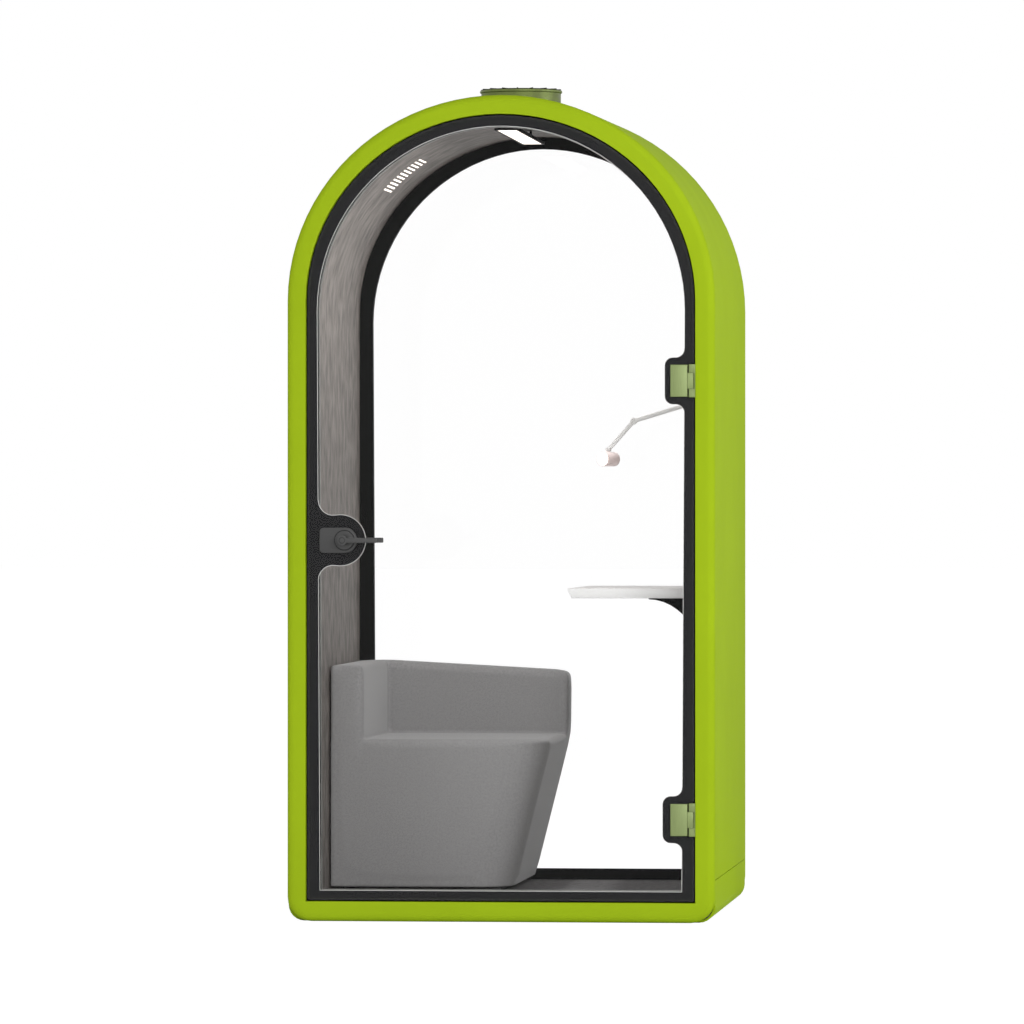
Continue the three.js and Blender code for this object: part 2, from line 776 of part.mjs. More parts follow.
// Lamp: wall plate, swivel, two arms side by side, and a head hanging from a vertical stem
const lamp = groupAt(openingHalf - lampStandoff, lampDepth, lampHeight);
const lampWall = lampStandoff - gap;
const lampBore = lampPin + runningFit;
const postFoot = lampPostTop - lampPostLength;
const stalkZ = (lampPostTop + postFoot) / 2;
const wallPlate = rod([lampWall - lampPlateThick, 0, 0], [lampWall, 0, 0], lampPlateRadius, 40)
  .add(rod([0, 0, stalkZ], [lampWall - over, 0, stalkZ], lampStalkRadius))
  .add(rod([0, 0, postFoot], [0, 0, lampPostTop], lampPostRadius))
  .subtract(rod([0, 0, postFoot + lampPostFloor], [0, 0, far], lampBore));
piece('lamp_wall_plate', wallPlate, whitePaint, lamp);
const cheekFront = -jointThick - gap;
const swivel = rod([0, 0, lampPostTop + gap], [0, 0, lampPostTop + jointThick], lampPostRadius)
  .add(rod([0, 0, postFoot + lampPostFloor + lampPinPlay], [0, 0, lampPostTop + over], lampPin))
  .add(box([-cheekHalf, cheekHalf], [cheekFront - jointThick, cheekFront], [lampPostTop + over, 0]))
  .add(rod([0, cheekFront - jointThick, 0], [0, cheekFront, 0], cheekRadius))
  .add(rod([0, cheekFront - over, 0], [0, 0, 0], lampPin));
piece('lamp_swivel', swivel, whitePaint, lamp);
const upperY = -jointThick / 2;
const lowerY = jointThick / 2 + gap;
const upperArm = rod([0, upperY, 0], [lampElbow.x, upperY, lampElbow.y], armRadius)
  .add(rod([0, -jointThick, 0], [0, 0, 0], jointRadius))
  .add(rod([lampElbow.x, -jointThick, lampElbow.y], [lampElbow.x, 0, lampElbow.y], jointRadius))
  .intersect(between(-jointThick, 0))
  .subtract(rod([0, -far, 0], [0, far, 0], lampBore))
  .subtract(rod([lampElbow.x, -far, lampElbow.y], [lampElbow.x, far, lampElbow.y], lampBore));
piece('lamp_upper_arm', upperArm, whitePaint, lamp);
const lowerArm = rod([lampElbow.x, lowerY, lampElbow.y], [lampWrist.x, lowerY, lampWrist.y], armRadius)
  .intersect(between(gap, gap + jointThick))
  .add(rod([lampElbow.x, gap, lampElbow.y], [lampElbow.x, gap + jointThick, lampElbow.y], jointRadius))
  .add(rod([lampElbow.x, -jointThick, lampElbow.y], [lampElbow.x, gap + over, lampElbow.y], lampPin))
  .add(rod(
    [lampWrist.x, lowerY, lampWrist.y - wristHalf],
    [lampWrist.x, lowerY, lampWrist.y + wristHalf],
    lampPostRadius,
  ))
  .subtract(rod(
    [lampWrist.x, lowerY, -far],
    [lampWrist.x, lowerY, lampWrist.y + wristHalf - wristCap],
    lampBore,
  ));
piece('lamp_lower_arm', lowerArm, whitePaint, lamp);

const headGroup = new THREE.Group();
headGroup.position.set(lampWrist.x, lowerY, lampWrist.y - lampHeadDrop);
headGroup.rotation.z = THREE.MathUtils.degToRad(-lampHeadTurn);
lamp.add(headGroup);
const headFace = -lampHeadLength / 2;
const stemFoot = lampHeadRadius - stemRoot;
const stemTop = lampHeadDrop + wristHalf - wristCap - gap;
const head = rod([0, headFace, 0], [0, -headFace, 0], lampHeadRadius, 40)
  .subtract(rod([0, headFace - over, 0], [0, headFace + lensThick + gap, 0], lensRadius + gap, 40))
  .add(rod([0, 0, stemFoot], [0, 0, stemTop], lampPin));
piece('lamp_head', head, whitePaint, headGroup);
piece('lamp_lens', rod([0, headFace, 0], [0, headFace + lensThick, 0], lensRadius, 40), glowFace, headGroup);

// Ceiling luminaire: a flat panel on two hangers under the crown of the lining
const diffuserEnds = [luminaireFront + diffuserMargin, luminaireBack - diffuserMargin];
const housingTop = luminaireBottom - housingLip + housingThick;
const hanger = (y) => rod([0, y, housingTop - over], [0, y, crown - gap], hangerRadius);
const housing = box(
  [-luminaireHalf, luminaireHalf],
  [luminaireFront, luminaireBack],
  [luminaireBottom - housingLip, housingTop],
).subtract(box(
  [-diffuserHalf - gap, diffuserHalf + gap],
  [diffuserEnds[0] - gap, diffuserEnds[1] + gap],
  [luminaireBottom - housingLip - over, luminaireBottom + diffuserThick + gap],
)).add(hanger(luminaireFront + hangerInset)).add(hanger(luminaireBack - hangerInset));
piece('luminaire_housing', housing, blackPaint);
piece(
  'luminaire_diffuser',
  box([-diffuserHalf, diffuserHalf], diffuserEnds, [luminaireBottom, luminaireBottom + diffuserThick]),
  glowFace,
);

// Roof fan, in a group on its vertical axis
const fan = groupAt(0, fanY, 0);
const cowlProfile = [
  point(cowlBore, cowlFoot),
  point(cowlRadius, cowlFoot),
  point(cowlRadius, cowlTop - cowlLipHeight - cowlLipFlare),
  point(cowlLipRadius, cowlTop - cowlLipHeight),
  point(cowlLipRadius, cowlTop - cowlLipRound),
  point(cowlLipRadius - cowlLipRound, cowlTop),
  point(grilleRadius + gap, cowlTop),
  point(grilleRadius + gap, grilleSeat - gap),
  point(cowlBore, grilleSeat - gap),
  point(cowlBore, cowlFoot),
];
const cowl = new THREE.LatheGeometry(cowlProfile, 48);
cowl.rotateX(Math.PI / 2);
piece('fan_cowl', solid(cowl), galvanised, fan);

const spokes = box([-far, far], [-grilleSpoke / 2, grilleSpoke / 2], [0, far])
  .add(box([-grilleSpoke / 2, grilleSpoke / 2], [-far, far], [0, far]));
const grilleTop = grilleSeat + grilleThick;
const grille = grilleRings.reduce((plate, [inner, outer]) => plate.subtract(
  rod([0, 0, grilleSeat - over], [0, 0, grilleTop + over], outer, 32)
    .subtract(rod([0, 0, grilleSeat - 2 * over], [0, 0, grilleTop + 2 * over], inner, 32))
    .subtract(spokes),
), rod([0, 0, grilleSeat], [0, 0, grilleTop], grilleRadius, 40));
piece('fan_grille', grille, blackPaint, fan);

const motorTop = grilleSeat - gap;
const motorFoot = motorTop - motorHeight;
const motor = rod([0, 0, motorFoot], [0, 0, motorTop], motorRadius, 32)
  .add(rod([0, 0, motorFoot - shaftLength], [0, 0, motorFoot + over], shaftRadius));
piece('fan_motor', motor, blackPlastic, fan);

const hubTop = motorFoot - hubClearance;
const hubMiddle = hubTop - hubHeight / 2;
const blades = Array.from({ length: bladeCount }, (_, i) => {
  const geometry = new THREE.BoxGeometry(bladeReach - motorRadius + bladeRoot, bladeThick, bladeChord);
  geometry.rotateX(THREE.MathUtils.degToRad(bladePitch));
  geometry.translate((bladeReach + motorRadius - bladeRoot) / 2, 0, hubMiddle);
  geometry.rotateZ(2 * Math.PI * i / bladeCount);
  return solid(geometry);
});
const impeller = blades
  .reduce(
    (wheel, blade) => wheel.add(blade),
    rod([0, 0, hubTop - hubHeight], [0, 0, hubTop], motorRadius, 32),
  )
  .subtract(rod([0, 0, hubTop - 2 * hubHeight], [0, 0, hubTop + over], shaftRadius + runningFit));
piece('fan_impeller', impeller, blackPlastic, fan);

export default pod;
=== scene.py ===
"""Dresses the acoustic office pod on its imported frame: finishes, padded bench, fittings and a studio."""

import json
import math

import bmesh
import bpy
from bpy.props import FloatProperty, FloatVectorProperty, IntProperty, PointerProperty
from mathutils import Matrix, Vector


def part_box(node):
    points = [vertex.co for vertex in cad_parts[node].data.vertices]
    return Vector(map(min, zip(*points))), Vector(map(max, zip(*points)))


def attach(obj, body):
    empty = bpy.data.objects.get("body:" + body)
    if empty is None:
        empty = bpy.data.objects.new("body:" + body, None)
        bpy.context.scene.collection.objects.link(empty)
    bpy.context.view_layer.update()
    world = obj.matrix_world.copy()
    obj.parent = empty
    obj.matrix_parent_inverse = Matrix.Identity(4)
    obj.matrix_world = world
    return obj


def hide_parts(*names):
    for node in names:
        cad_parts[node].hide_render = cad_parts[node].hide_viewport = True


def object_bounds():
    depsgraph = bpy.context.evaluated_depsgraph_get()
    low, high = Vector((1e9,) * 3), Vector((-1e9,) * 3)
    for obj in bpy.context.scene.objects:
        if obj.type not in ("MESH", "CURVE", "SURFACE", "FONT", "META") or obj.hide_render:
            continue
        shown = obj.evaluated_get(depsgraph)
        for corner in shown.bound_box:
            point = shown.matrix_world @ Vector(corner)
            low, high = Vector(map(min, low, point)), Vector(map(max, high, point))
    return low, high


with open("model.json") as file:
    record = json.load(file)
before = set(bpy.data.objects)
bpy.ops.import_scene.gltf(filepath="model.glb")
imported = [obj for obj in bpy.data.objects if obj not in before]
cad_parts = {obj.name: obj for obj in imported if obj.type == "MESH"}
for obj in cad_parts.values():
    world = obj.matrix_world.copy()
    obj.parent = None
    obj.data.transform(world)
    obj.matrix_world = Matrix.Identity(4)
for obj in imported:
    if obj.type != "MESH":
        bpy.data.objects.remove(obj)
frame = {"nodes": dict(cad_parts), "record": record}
CAD_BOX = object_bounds()
SLOT_OF = {part["node"]: part["material_slot"] for part in frame["record"]["subparts"]}

bl_info = {
    "name": "Acoustic office pod",
    "version": (1, 0, 0),
    "blender": (4, 5, 0),
    "location": "View3D > Sidebar > Office pod",
    "description": "Finishes, upholstery and studio for an arched single-person office pod",
    "category": "Object",
}

MM = 0.001
# Vertices nearer than this are one
WELD = 0.01 * MM
# What is nearer than this to a plane of the bench lies on it
NEAR = 1 * MM
# Edges that turn by more than this stay sharp, and are rounded where asked
CREASE = math.radians(35)
# Heights of the two screws on a hinge leaf, as shares of the leaf
SCREW_SHARES = (0.22, 0.78)
# Place of each soft light of the studio, and the length of its sides
STUDIO_LIGHTS = {
    "key": ((-4.5, -6.0, 5.0), 4.0),
    "side": ((7.0, -1.0, 3.5), 3.0),
    "front": ((2.8, -9.0, 2.6), 3.2),
}


def linear(text):
    """An sRGB hex colour as linear red, green and blue."""
    parts = [int(text[i:i + 2], 16) / 255 for i in (1, 3, 5)]
    return tuple(c / 12.92 if c <= 0.04045 else ((c + 0.055) / 1.055) ** 2.4 for c in parts)


def colour(name, description, text):
    """A colour property with an sRGB hex default."""
    return FloatVectorProperty(
        name=name, description=description, subtype="COLOR", size=3, min=0, max=1, default=linear(text)
    )


def length(name, description, default):
    """A length property in metres."""
    return FloatProperty(
        name=name, description=description, default=default, min=0, unit="LENGTH", precision=4
    )


def amount(name, description, default):
    """A plain number that isn't negative."""
    return FloatProperty(name=name, description=description, default=default, min=0)


class PodFinishes(bpy.types.PropertyGroup):
    """Colours of the pod's finishes"""

    shell: colour("Shell", "Lacquer on the moulded shell and rims", "#9AB41E")
    felt: colour("Felt", "Sound-absorbing core of the walls and floor", "#6E6E70")
    panel_pale: colour("Lining, pale", "Pale streaks of the wood-look lining", "#8F8882")
    panel_dark: colour("Lining, dark", "Dark streaks of the wood-look lining", "#5A5552")
    plywood: colour("Plywood", "Bare floor deck", "#B89767")
    carpet: colour("Carpet", "Loop pile carpet", "#868484")
    black_coat: colour("Black coat", "Powder coat on frames, brackets and grille", "#060706")
    black_print: colour("Black print", "Border printed on the glass", "#131315")
    glass: colour("Glass", "Faint tint of the clear glass", "#FFFFFF")
    rubber: colour("Rubber", "Seals and gasket", "#202020")
    edging: colour("Edging", "Satin anodised trim", "#8A8A86")
    # The green in the hinge colour is a painted reflection of the green shell around the hinges
    hinge: colour("Hinges", "Brushed hinge metal", "#7B8955")
    steel: colour("Steel", "Bright pins and bolt", "#A8AAAC")
    dark_metal: colour("Lock", "Dark satin metal of the lock and levers", "#404040")
    fabric: colour("Upholstery", "Grey bench fabric", "#999898")
    # The plinth is drawn black as painted shade for the shadow gap under the bench
    board: colour("Board", "Black bench plinth", "#232323")
    desk: colour("Desk", "White edge band of the desk", "#FFFFFD")
    # The grey of the desk top is painted shade: the same white laminate, drawn darker on faces that look up
    # than on the lit front edge
    desk_top: colour("Desk top", "White laminate on top of the desk", "#C8C4C2")
    lamp: colour("Lamp", "Pale coat of the lamp's arms", "#E6E5E3")
    lamp_head: colour("Lamp head", "Faintly pink coat of the lamp's head", "#FFECE9")
    glow: colour("Light", "Lit opal faces", "#FFF6EA")
    cowl: colour("Fan cowl", "Galvanised sheet", "#626D3A")
    plastic: colour("Fan", "Black plastic of the fan", "#242424")


class PodBench(bpy.types.PropertyGroup):
    """Upholstery of the bench"""

    front_edge: length("Front edge", "Rounding of the upright edge of the seat, nearest the desk", 100 * MM)
    seat_taper: length("Seat taper", "How far the foot of the seat stands back from its top", 105 * MM)
    wing_slope: length("Wing slope", "Fall of the top of the wing towards the desk", 29 * MM)
    wing_overhang: length("Wing overhang", "How far the top of the wing stands out over the seat", 2 * MM)
    wing_corner: length("Wing corner", "Rounding of the upper corner at the free end of the wing", 20 * MM)
    top_edge: length("Top edge", "Rounding along the tops of the cushions", 9 * MM)
    voxel: length("Voxel", "Grain of the cloth that is filled", 5 * MM)
    draw_in: length("Draw in", "How far the cover starts inside the finished form", 1 * MM)
    swell: length("Swell", "Most that the filling may push the cover out", 2.5 * MM)
    held: length("Held edge", "Width of the cover that is stapled at its foot and along the wall", 16 * MM)
    pressure: amount("Pressure", "Filling pressure in the cloth", 2)
    steps: IntProperty(name="Steps", description="Simulated frames", default=10, min=2)
    fill: FloatProperty(name="Fill", description="How full and tight the pad is", default=0.9, min=0, max=1)


class PodFittings(bpy.types.PropertyGroup):
    """Small fittings"""

    edge_round: length("Edge rounding", "Rounding on the edges of rigid fittings", 0.8 * MM)
    screw_radius: length("Screw head", "Radius of the screw heads", 5 * MM)
    screw_rise: length("Screw rise", "How far a screw head stands out of its plate", 0.5 * MM)
    recess_depth: length("Recess depth", "Depth of the recess in a screw head", 0.4 * MM)
    lining_thick: length("Lining", "Thickness of the lining", 12 * MM)
    vent_spring: length("Spring line", "Height of the middle of the arch", 1711 * MM)
    vent_angle: FloatProperty(
        name="Vent angle", description="Place of the vent round the arch", default=math.radians(131.5),
        subtype="ANGLE",
    )
    vent_front: FloatProperty(
        name="Vent front", description="Front end of the vent", default=65 * MM, unit="LENGTH"
    )
    vent_rear: FloatProperty(
        name="Vent rear", description="Rear end of the vent", default=247 * MM, unit="LENGTH"
    )
    vent_slots: IntProperty(name="Vent slots", description="Slots in the lining", default=11, min=1)
    vent_pitch: length("Vent pitch", "Distance between the slots round the arch", 13.3 * MM)
    bar_width: length("Bar width", "Width of the lit bar in a slot", 5.4 * MM)
    bar_thick: length("Bar thickness", "Thickness of the lit bar in a slot", 8 * MM)
    bar_sunk: length("Bar sunk", "How far a bar lies under the face of the lining", 0.6 * MM)
    guard_wire: length("Guard wire", "Radius of the wire of the fan guard", 1.1 * MM)
    guard_rings: FloatVectorProperty(
        name="Guard rings", description="Rings of the fan guard, as shares of its reach",
        default=(0.35, 0.68, 1.0),
    )
    guard_spokes: IntProperty(name="Guard spokes", description="Spokes of the fan guard", default=16, min=3)
    lock_radius: length("Lock end", "Radius of the round end of the lock plate", 35 * MM)
    rose_radius: length("Rose", "Radius of the rose under the lever", 26 * MM)
    rose_thick: length("Rose thickness", "How far the rose stands out of the lock plate", 6 * MM)
    cap_radius: length("Cap", "Radius of the cap on the end of the lever", 8 * MM)
    # The rings are painted shade: black rubber laid where the gaps round rose and cap lie in shadow
    shade_ring_wire: length("Ring", "Half the thickness of the rings round rose and cap", 1.2 * MM)
    # The pale line is a painted highlight: it stands for the light caught by the edge of the border printed
    # on the glass
    line_width: length("Border line", "Width of the pale line along the printed border", 1.2 * MM)
    highlight_line_thick: length("Border line thickness", "Thickness of the pale line", 0.4 * MM)


class PodStage(bpy.types.PropertyGroup):
    """Camera, floor and light"""

    camera_at: FloatVectorProperty(
        name="Camera", description="Place of the camera", default=(1.974, -20.075, 1.129),
        subtype="TRANSLATION", unit="LENGTH",
    )
    camera_turn: FloatProperty(
        name="Turn", description="Turn of the camera about the vertical", default=math.radians(5.704),
        subtype="ANGLE",
    )
    lens: FloatProperty(name="Lens", description="Focal length", default=249.6, min=1, unit="CAMERA")
    floor_size: length("Floor", "Side of the floor", 240.0)
    floor: colour("Floor colour", "Pale studio floor", "#F2F2F2")
    floor_white: amount("Floor white", "Strength of the white that the floor shows", 1.1)
    floor_share: amount("Floor share", "Share of that white in what shows; the rest keeps the shadow", 0.88)
    ambient: amount("Ambient", "Light of the white studio", 0.4)
    key: amount("Key", "Power of the large soft light at the left", 110)
    side: amount("Side", "Power of the soft light at the right", 205)
    front: amount("Front", "Power of the soft light before the door", 318)
    cabin: amount("Cabin", "Power of the ceiling light in the cabin", 9)
    cabin_drop: length("Cabin drop", "How far the ceiling light lies under its diffuser", 5 * MM)


def add(tree, kind, inputs=None, **settings):
    """Adds a node with its settings, and fills or links its inputs."""
    node = tree.nodes.new(kind)
    for key, value in settings.items():
        setattr(node, key, value)
    for key, value in (inputs or {}).items():
        if isinstance(value, bpy.types.NodeSocket):
            tree.links.new(value, node.inputs[key])
        else:
            node.inputs[key].default_value = value
    return node


def begin(name, **values):
    """A new material with the plain values of its shader, and the Object coordinates for its patterns."""
    material = bpy.data.materials.new(name)
    material.use_nodes = True
    tree = material.node_tree
    shader = tree.nodes["Principled BSDF"]
    for key, value in values.items():
        shader.inputs[key.replace("_", " ")].default_value = value
    coords = add(tree, "ShaderNodeTexCoord").outputs["Object"]
    return material, tree, shader, coords


def shade(rgb, factor=1.0):
    """A colour made lighter or darker."""
    return tuple(min(1.0, c * factor) for c in rgb) + (1.0,)


def clouds(tree, coords, size, detail=3.0, stretch=(1.0, 1.0, 1.0)):
    """Noise with clouds of that size in metres, drawn out along the axes whose stretch is below 1."""
    place = add(tree, "ShaderNodeMapping", {"Vector": coords, "Scale": stretch})
    noise = add(
        tree, "ShaderNodeTexNoise", {"Vector": place.outputs["Vector"], "Scale": 1 / size, "Detail": detail}
    )
    return noise.outputs["Fac"]


def tones(rgb, low, high):
    """A darker and a lighter shade of a colour."""
    return shade(rgb, low), shade(rgb, high)


def surface(tree, shader, pattern, pair, spread=0.2, rough=None, depth=0.0, fine=None):
    """Lets the colour follow a pattern between two tones, and roughness and relief follow it or a finer one.

    The relief's depth is in metres. Gives the colour back, for what lies over it.
    """
    fine = pattern if fine is None else fine
    ramp = add(tree, "ShaderNodeValToRGB", {"Fac": pattern})
    for element, place, tone in zip(ramp.color_ramp.elements, (0.5 - spread, 0.5 + spread), pair):
        element.position = place
        element.color = tone
    tree.links.new(ramp.outputs["Color"], shader.inputs["Base Color"])
    if rough:
        gloss = add(tree, "ShaderNodeMapRange", {"Value": fine, "To Min": rough[0], "To Max": rough[1]})
        tree.links.new(gloss.outputs["Result"], shader.inputs["Roughness"])
    if depth:
        bump = add(tree, "ShaderNodeBump", {"Height": fine, "Distance": depth})
        tree.links.new(bump.outputs["Normal"], shader.inputs["Normal"])
    return ramp.outputs["Color"]


def lacquered_moulding(finishes):
    """Satin lacquer sprayed on a moulded skin: even colour, a soft sheen and a slight orange peel."""
    material, tree, shader, coords = begin("satin lacquered moulding", Specular_IOR_Level=0.004)
    # Orange peel is about 2 mm, drawn at 6 mm so that it shows
    peel = clouds(tree, coords, 6 * MM, 1.0)
    pair = tones(finishes.shell, 0.96, 1.04)
    surface(tree, shader, clouds(tree, coords, 400 * MM), pair, rough=(0.5, 0.6), depth=0.1 * MM, fine=peel)
    return material


def needled_felt(finishes):
    """Needle-punched felt: matt, cloudy grey with loose fibres."""
    material, tree, shader, coords = begin("needled felt", Specular_IOR_Level=0.2)
    fibres = clouds(tree, coords, 4 * MM, 5.0)
    surface(tree, shader, fibres, tones(finishes.felt, 0.7, 1.25), rough=(0.9, 1.0), depth=0.8 * MM)
    return material


def wood_look_laminate(finishes):
    """Matt printed laminate: mottled grey streaks that follow the arch, 40 mm broad, with 6 mm fibres."""
    material, tree, shader, coords = begin("wood-look laminate", Specular_IOR_Level=0.35)
    streaks = clouds(tree, coords, 40 * MM, 7.0, (0.6, 1.0, 0.6))
    fibres = clouds(tree, coords, 6 * MM, 4.0, (0.08, 1.0, 0.08))
    grain = add(tree, "ShaderNodeMath", {0: streaks, 1: fibres}, operation="ADD")
    halved = add(tree, "ShaderNodeMath", {0: grain.outputs["Value"], 1: 0.5}, operation="MULTIPLY")
    pair = shade(finishes.panel_dark), shade(finishes.panel_pale)
    surface(tree, shader, halved.outputs["Value"], pair, 0.11, (0.55, 0.75), 0.2 * MM, fibres)
    return material


def bare_plywood(finishes):
    """Bare birch plywood: pale brown with fine grain across the floor."""
    material, tree, shader, coords = begin("birch plywood")
    grain = clouds(tree, coords, 6 * MM, 5.0, (0.05, 1.0, 1.0))
    surface(tree, shader, grain, tones(finishes.plywood, 0.75, 1.1), rough=(0.6, 0.75))
    return material


def loop_carpet(finishes):
    """Low loop pile: round loops 5 mm apart in heathered greys."""
    material, tree, shader, coords = begin("loop pile carpet", Specular_IOR_Level=0.15, Roughness=0.95)
    loops = add(tree, "ShaderNodeTexVoronoi", {"Vector": coords, "Scale": 1 / (5 * MM)})
    heather = clouds(tree, coords, 14 * MM, 6.0)
    pair = tones(finishes.carpet, 0.65, 1.35)
    surface(tree, shader, heather, pair, depth=-1.5 * MM, fine=loops.outputs["Distance"])
    return material


def powder_coat(finishes):
    """Black powder coat on aluminium: matt with a fine grit."""
    material, tree, shader, coords = begin("black powder coat", Specular_IOR_Level=0.06)
    # The grit is below 1 mm, drawn at 2 mm so that it shows
    grit = clouds(tree, coords, 2 * MM, 2.0)
    surface(tree, shader, grit, tones(finishes.black_coat, 0.8, 1.25), rough=(0.45, 0.6), depth=0.08 * MM)
    return material


def ceramic_print(finishes):
    """Ceramic ink fired on the glass: even black with a faint cloudiness."""
    material, tree, shader, coords = begin("fired ceramic print", Specular_IOR_Level=0.1)
    depth = clouds(tree, coords, 60 * MM)
    surface(tree, shader, depth, tones(finishes.black_print, 0.9, 1.1), rough=(0.45, 0.55))
    return material


def clear_glass(finishes):
    """Clear toughened glass with a low-reflection coat: its outer faces show a faint mirror image."""
    material, tree, shader, coords = begin("clear toughened glass")
    tree.nodes.remove(shader)
    clear = add(tree, "ShaderNodeBsdfTransparent", {"Color": shade(finishes.glass)})
    wiped = clouds(tree, coords, 150 * MM, 4.0)
    haze = add(tree, "ShaderNodeMapRange", {"Value": wiped, "To Min": 0.0, "To Max": 0.04})
    mirror = add(tree, "ShaderNodeBsdfGlossy", {"Roughness": haze.outputs["Result"]})
    bare = add(tree, "ShaderNodeFresnel", {"IOR": 1.5}).outputs["Fac"]
    inside = add(tree, "ShaderNodeNewGeometry").outputs["Backfacing"]
    front = add(tree, "ShaderNodeMath", {0: 1.0, 1: inside}, operation="SUBTRACT")
    outer = add(tree, "ShaderNodeMath", {0: bare, 1: front.outputs["Value"]}, operation="MULTIPLY")
    # The coat leaves three tenths of what bare glass mirrors
    coated = add(tree, "ShaderNodeMath", {0: outer.outputs["Value"], 1: 0.3}, operation="MULTIPLY")
    mix = add(
        tree, "ShaderNodeMixShader",
        {"Fac": coated.outputs["Value"], 1: clear.outputs["BSDF"], 2: mirror.outputs["BSDF"]},
    )
    tree.links.new(mix.outputs["Shader"], tree.nodes["Material Output"].inputs["Surface"])
    return material


def black_rubber(finishes):
    """Extruded rubber: dull black with a powdery bloom."""
    material, tree, shader, coords = begin("extruded rubber", Specular_IOR_Level=0.3)
    bloom = clouds(tree, coords, 12 * MM, 4.0)
    surface(tree, shader, bloom, tones(finishes.rubber, 0.8, 1.3), rough=(0.7, 0.85))
    return material


def anodised_edging(finishes):
    """Satin anodised aluminium: pale, with faint drawing lines."""
    material, tree, shader, coords = begin("satin anodised aluminium", Metallic=1.0)
    lines = clouds(tree, coords, 2 * MM, 2.0, (0.05, 1.0, 0.05))
    surface(tree, shader, lines, tones(finishes.edging, 0.9, 1.08), rough=(0.3, 0.45))
    return material


def brushed_hinge(finishes):
    """Brushed stainless hinge metal, tinted green as a painted reflection of the green shell around it: fine
    upright brush lines.
    """
    material, tree, shader, coords = begin("brushed hinge metal", Metallic=0.35)
    # Brush lines are a fraction of a millimetre, drawn at 1.5 mm so that they show
    lines = clouds(tree, coords, 1.5 * MM, 3.0, (1.0, 1.0, 0.04))
    surface(tree, shader, lines, tones(finishes.hinge, 0.92, 1.08), rough=(0.38, 0.52), depth=0.05 * MM)
    return material


def bright_steel(finishes):
    """Turned bright steel: clean, with fine turning lines."""
    material, tree, shader, coords = begin("bright steel", Metallic=1.0)
    lines = clouds(tree, coords, 1 * MM, 2.0, (0.2, 0.2, 1.0))
    surface(tree, shader, lines, tones(finishes.steel, 0.92, 1.08), rough=(0.22, 0.35))
    return material


def dark_satin_metal(finishes):
    """Dark satin coated metal: soft highlights, a fine blasted grain, and painted shade that darkens it in
    corners and at steps where parts meet.
    """
    material, tree, shader, coords = begin("dark satin metal", Specular_IOR_Level=0.3)
    grain = clouds(tree, coords, 1.5 * MM, 3.0)
    pair = tones(finishes.dark_metal, 0.9, 1.1)
    coat = surface(tree, shader, grain, pair, rough=(0.42, 0.55), depth=0.04 * MM)
    # Painted shade: ambient occlusion darkens the colour within 6 mm of corners and steps
    painted_corner_shade = add(tree, "ShaderNodeAmbientOcclusion", {"Color": coat, "Distance": 6 * MM})
    tree.links.new(painted_corner_shade.outputs["Color"], shader.inputs["Base Color"])
    return material


def woven_upholstery(finishes):
    """Smooth wool cloth: a plain weave in mixed greys, with a soft sheen at grazing angles."""
    material, tree, shader, coords = begin(
        "woven wool upholstery", Specular_IOR_Level=0.2, Roughness=0.9, Sheen_Weight=0.25,
        Sheen_Roughness=0.4,
    )
    # Threads are about 1 mm apart, drawn at 2.4 mm so that they show
    # One set of bands for each axis, so that two sets cross on any face
    pitch = 2.4 * MM
    weave = None
    for axis in "XYZ":
        bands = add(
            tree, "ShaderNodeTexWave",
            {
                "Vector": coords, "Scale": math.tau / 20 / pitch, "Distortion": 1.5, "Detail": 2.0,
                "Detail Scale": 1.5,
            },
            bands_direction=axis,
        ).outputs["Fac"]
        weave = bands if weave is None else add(
            tree, "ShaderNodeMath", {0: weave, 1: bands}, operation="MULTIPLY"
        ).outputs["Value"]
    heather = clouds(tree, coords, 5 * MM, 6.0)
    mixed = add(tree, "ShaderNodeMath", {0: weave, 1: 0.15, 2: heather}, operation="MULTIPLY_ADD")
    surface(tree, shader, mixed.outputs["Value"], tones(finishes.fabric, 0.88, 1.1), depth=0.35 * MM)
    return material


def black_board(finishes):
    """Board drawn black, as painted shade for the shadow gap under the bench: matt with a trace of chips in
    its surface.
    """
    material, tree, shader, coords = begin("black-stained board", Roughness=0.75)
    chips = clouds(tree, coords, 6 * MM, 4.0)
    surface(tree, shader, chips, tones(finishes.board, 0.75, 1.3))
    return material


def white_laminate(finishes):
    """White laminate with a pearl texture too fine to feel; faces that look up are painted grey as shade, so
    the edge band shows whiter.
    """
    material, tree, shader, coords = begin("white laminate")
    pearl = clouds(tree, coords, 2.5 * MM, 2.0)
    pair = tones(finishes.desk, 0.97, 1.02)
    band = surface(tree, shader, pearl, pair, rough=(0.3, 0.42), depth=0.03 * MM)
    facing = add(tree, "ShaderNodeTexCoord").outputs["Normal"]
    upward = add(tree, "ShaderNodeSeparateXYZ", {"Vector": facing}).outputs["Z"]
    # Painted shade: faces that look up are mixed to the darker desk-top grey, so the lit front edge shows
    # whiter
    sheet = add(
        tree, "ShaderNodeMix", {0: upward, 6: band, 7: shade(finishes.desk_top)},
        data_type="RGBA", clamp_factor=True,
    )
    tree.links.new(sheet.outputs[2], shader.inputs["Base Color"])
    return material


def pale_coat(finishes):
    """Pale powder coat on the lamp's arms: satin with a fine grit."""
    material, tree, shader, coords = begin("pale powder coat")
    grit = clouds(tree, coords, 1.5 * MM, 2.0)
    surface(tree, shader, grit, tones(finishes.lamp, 0.96, 1.03), rough=(0.4, 0.5))
    return material


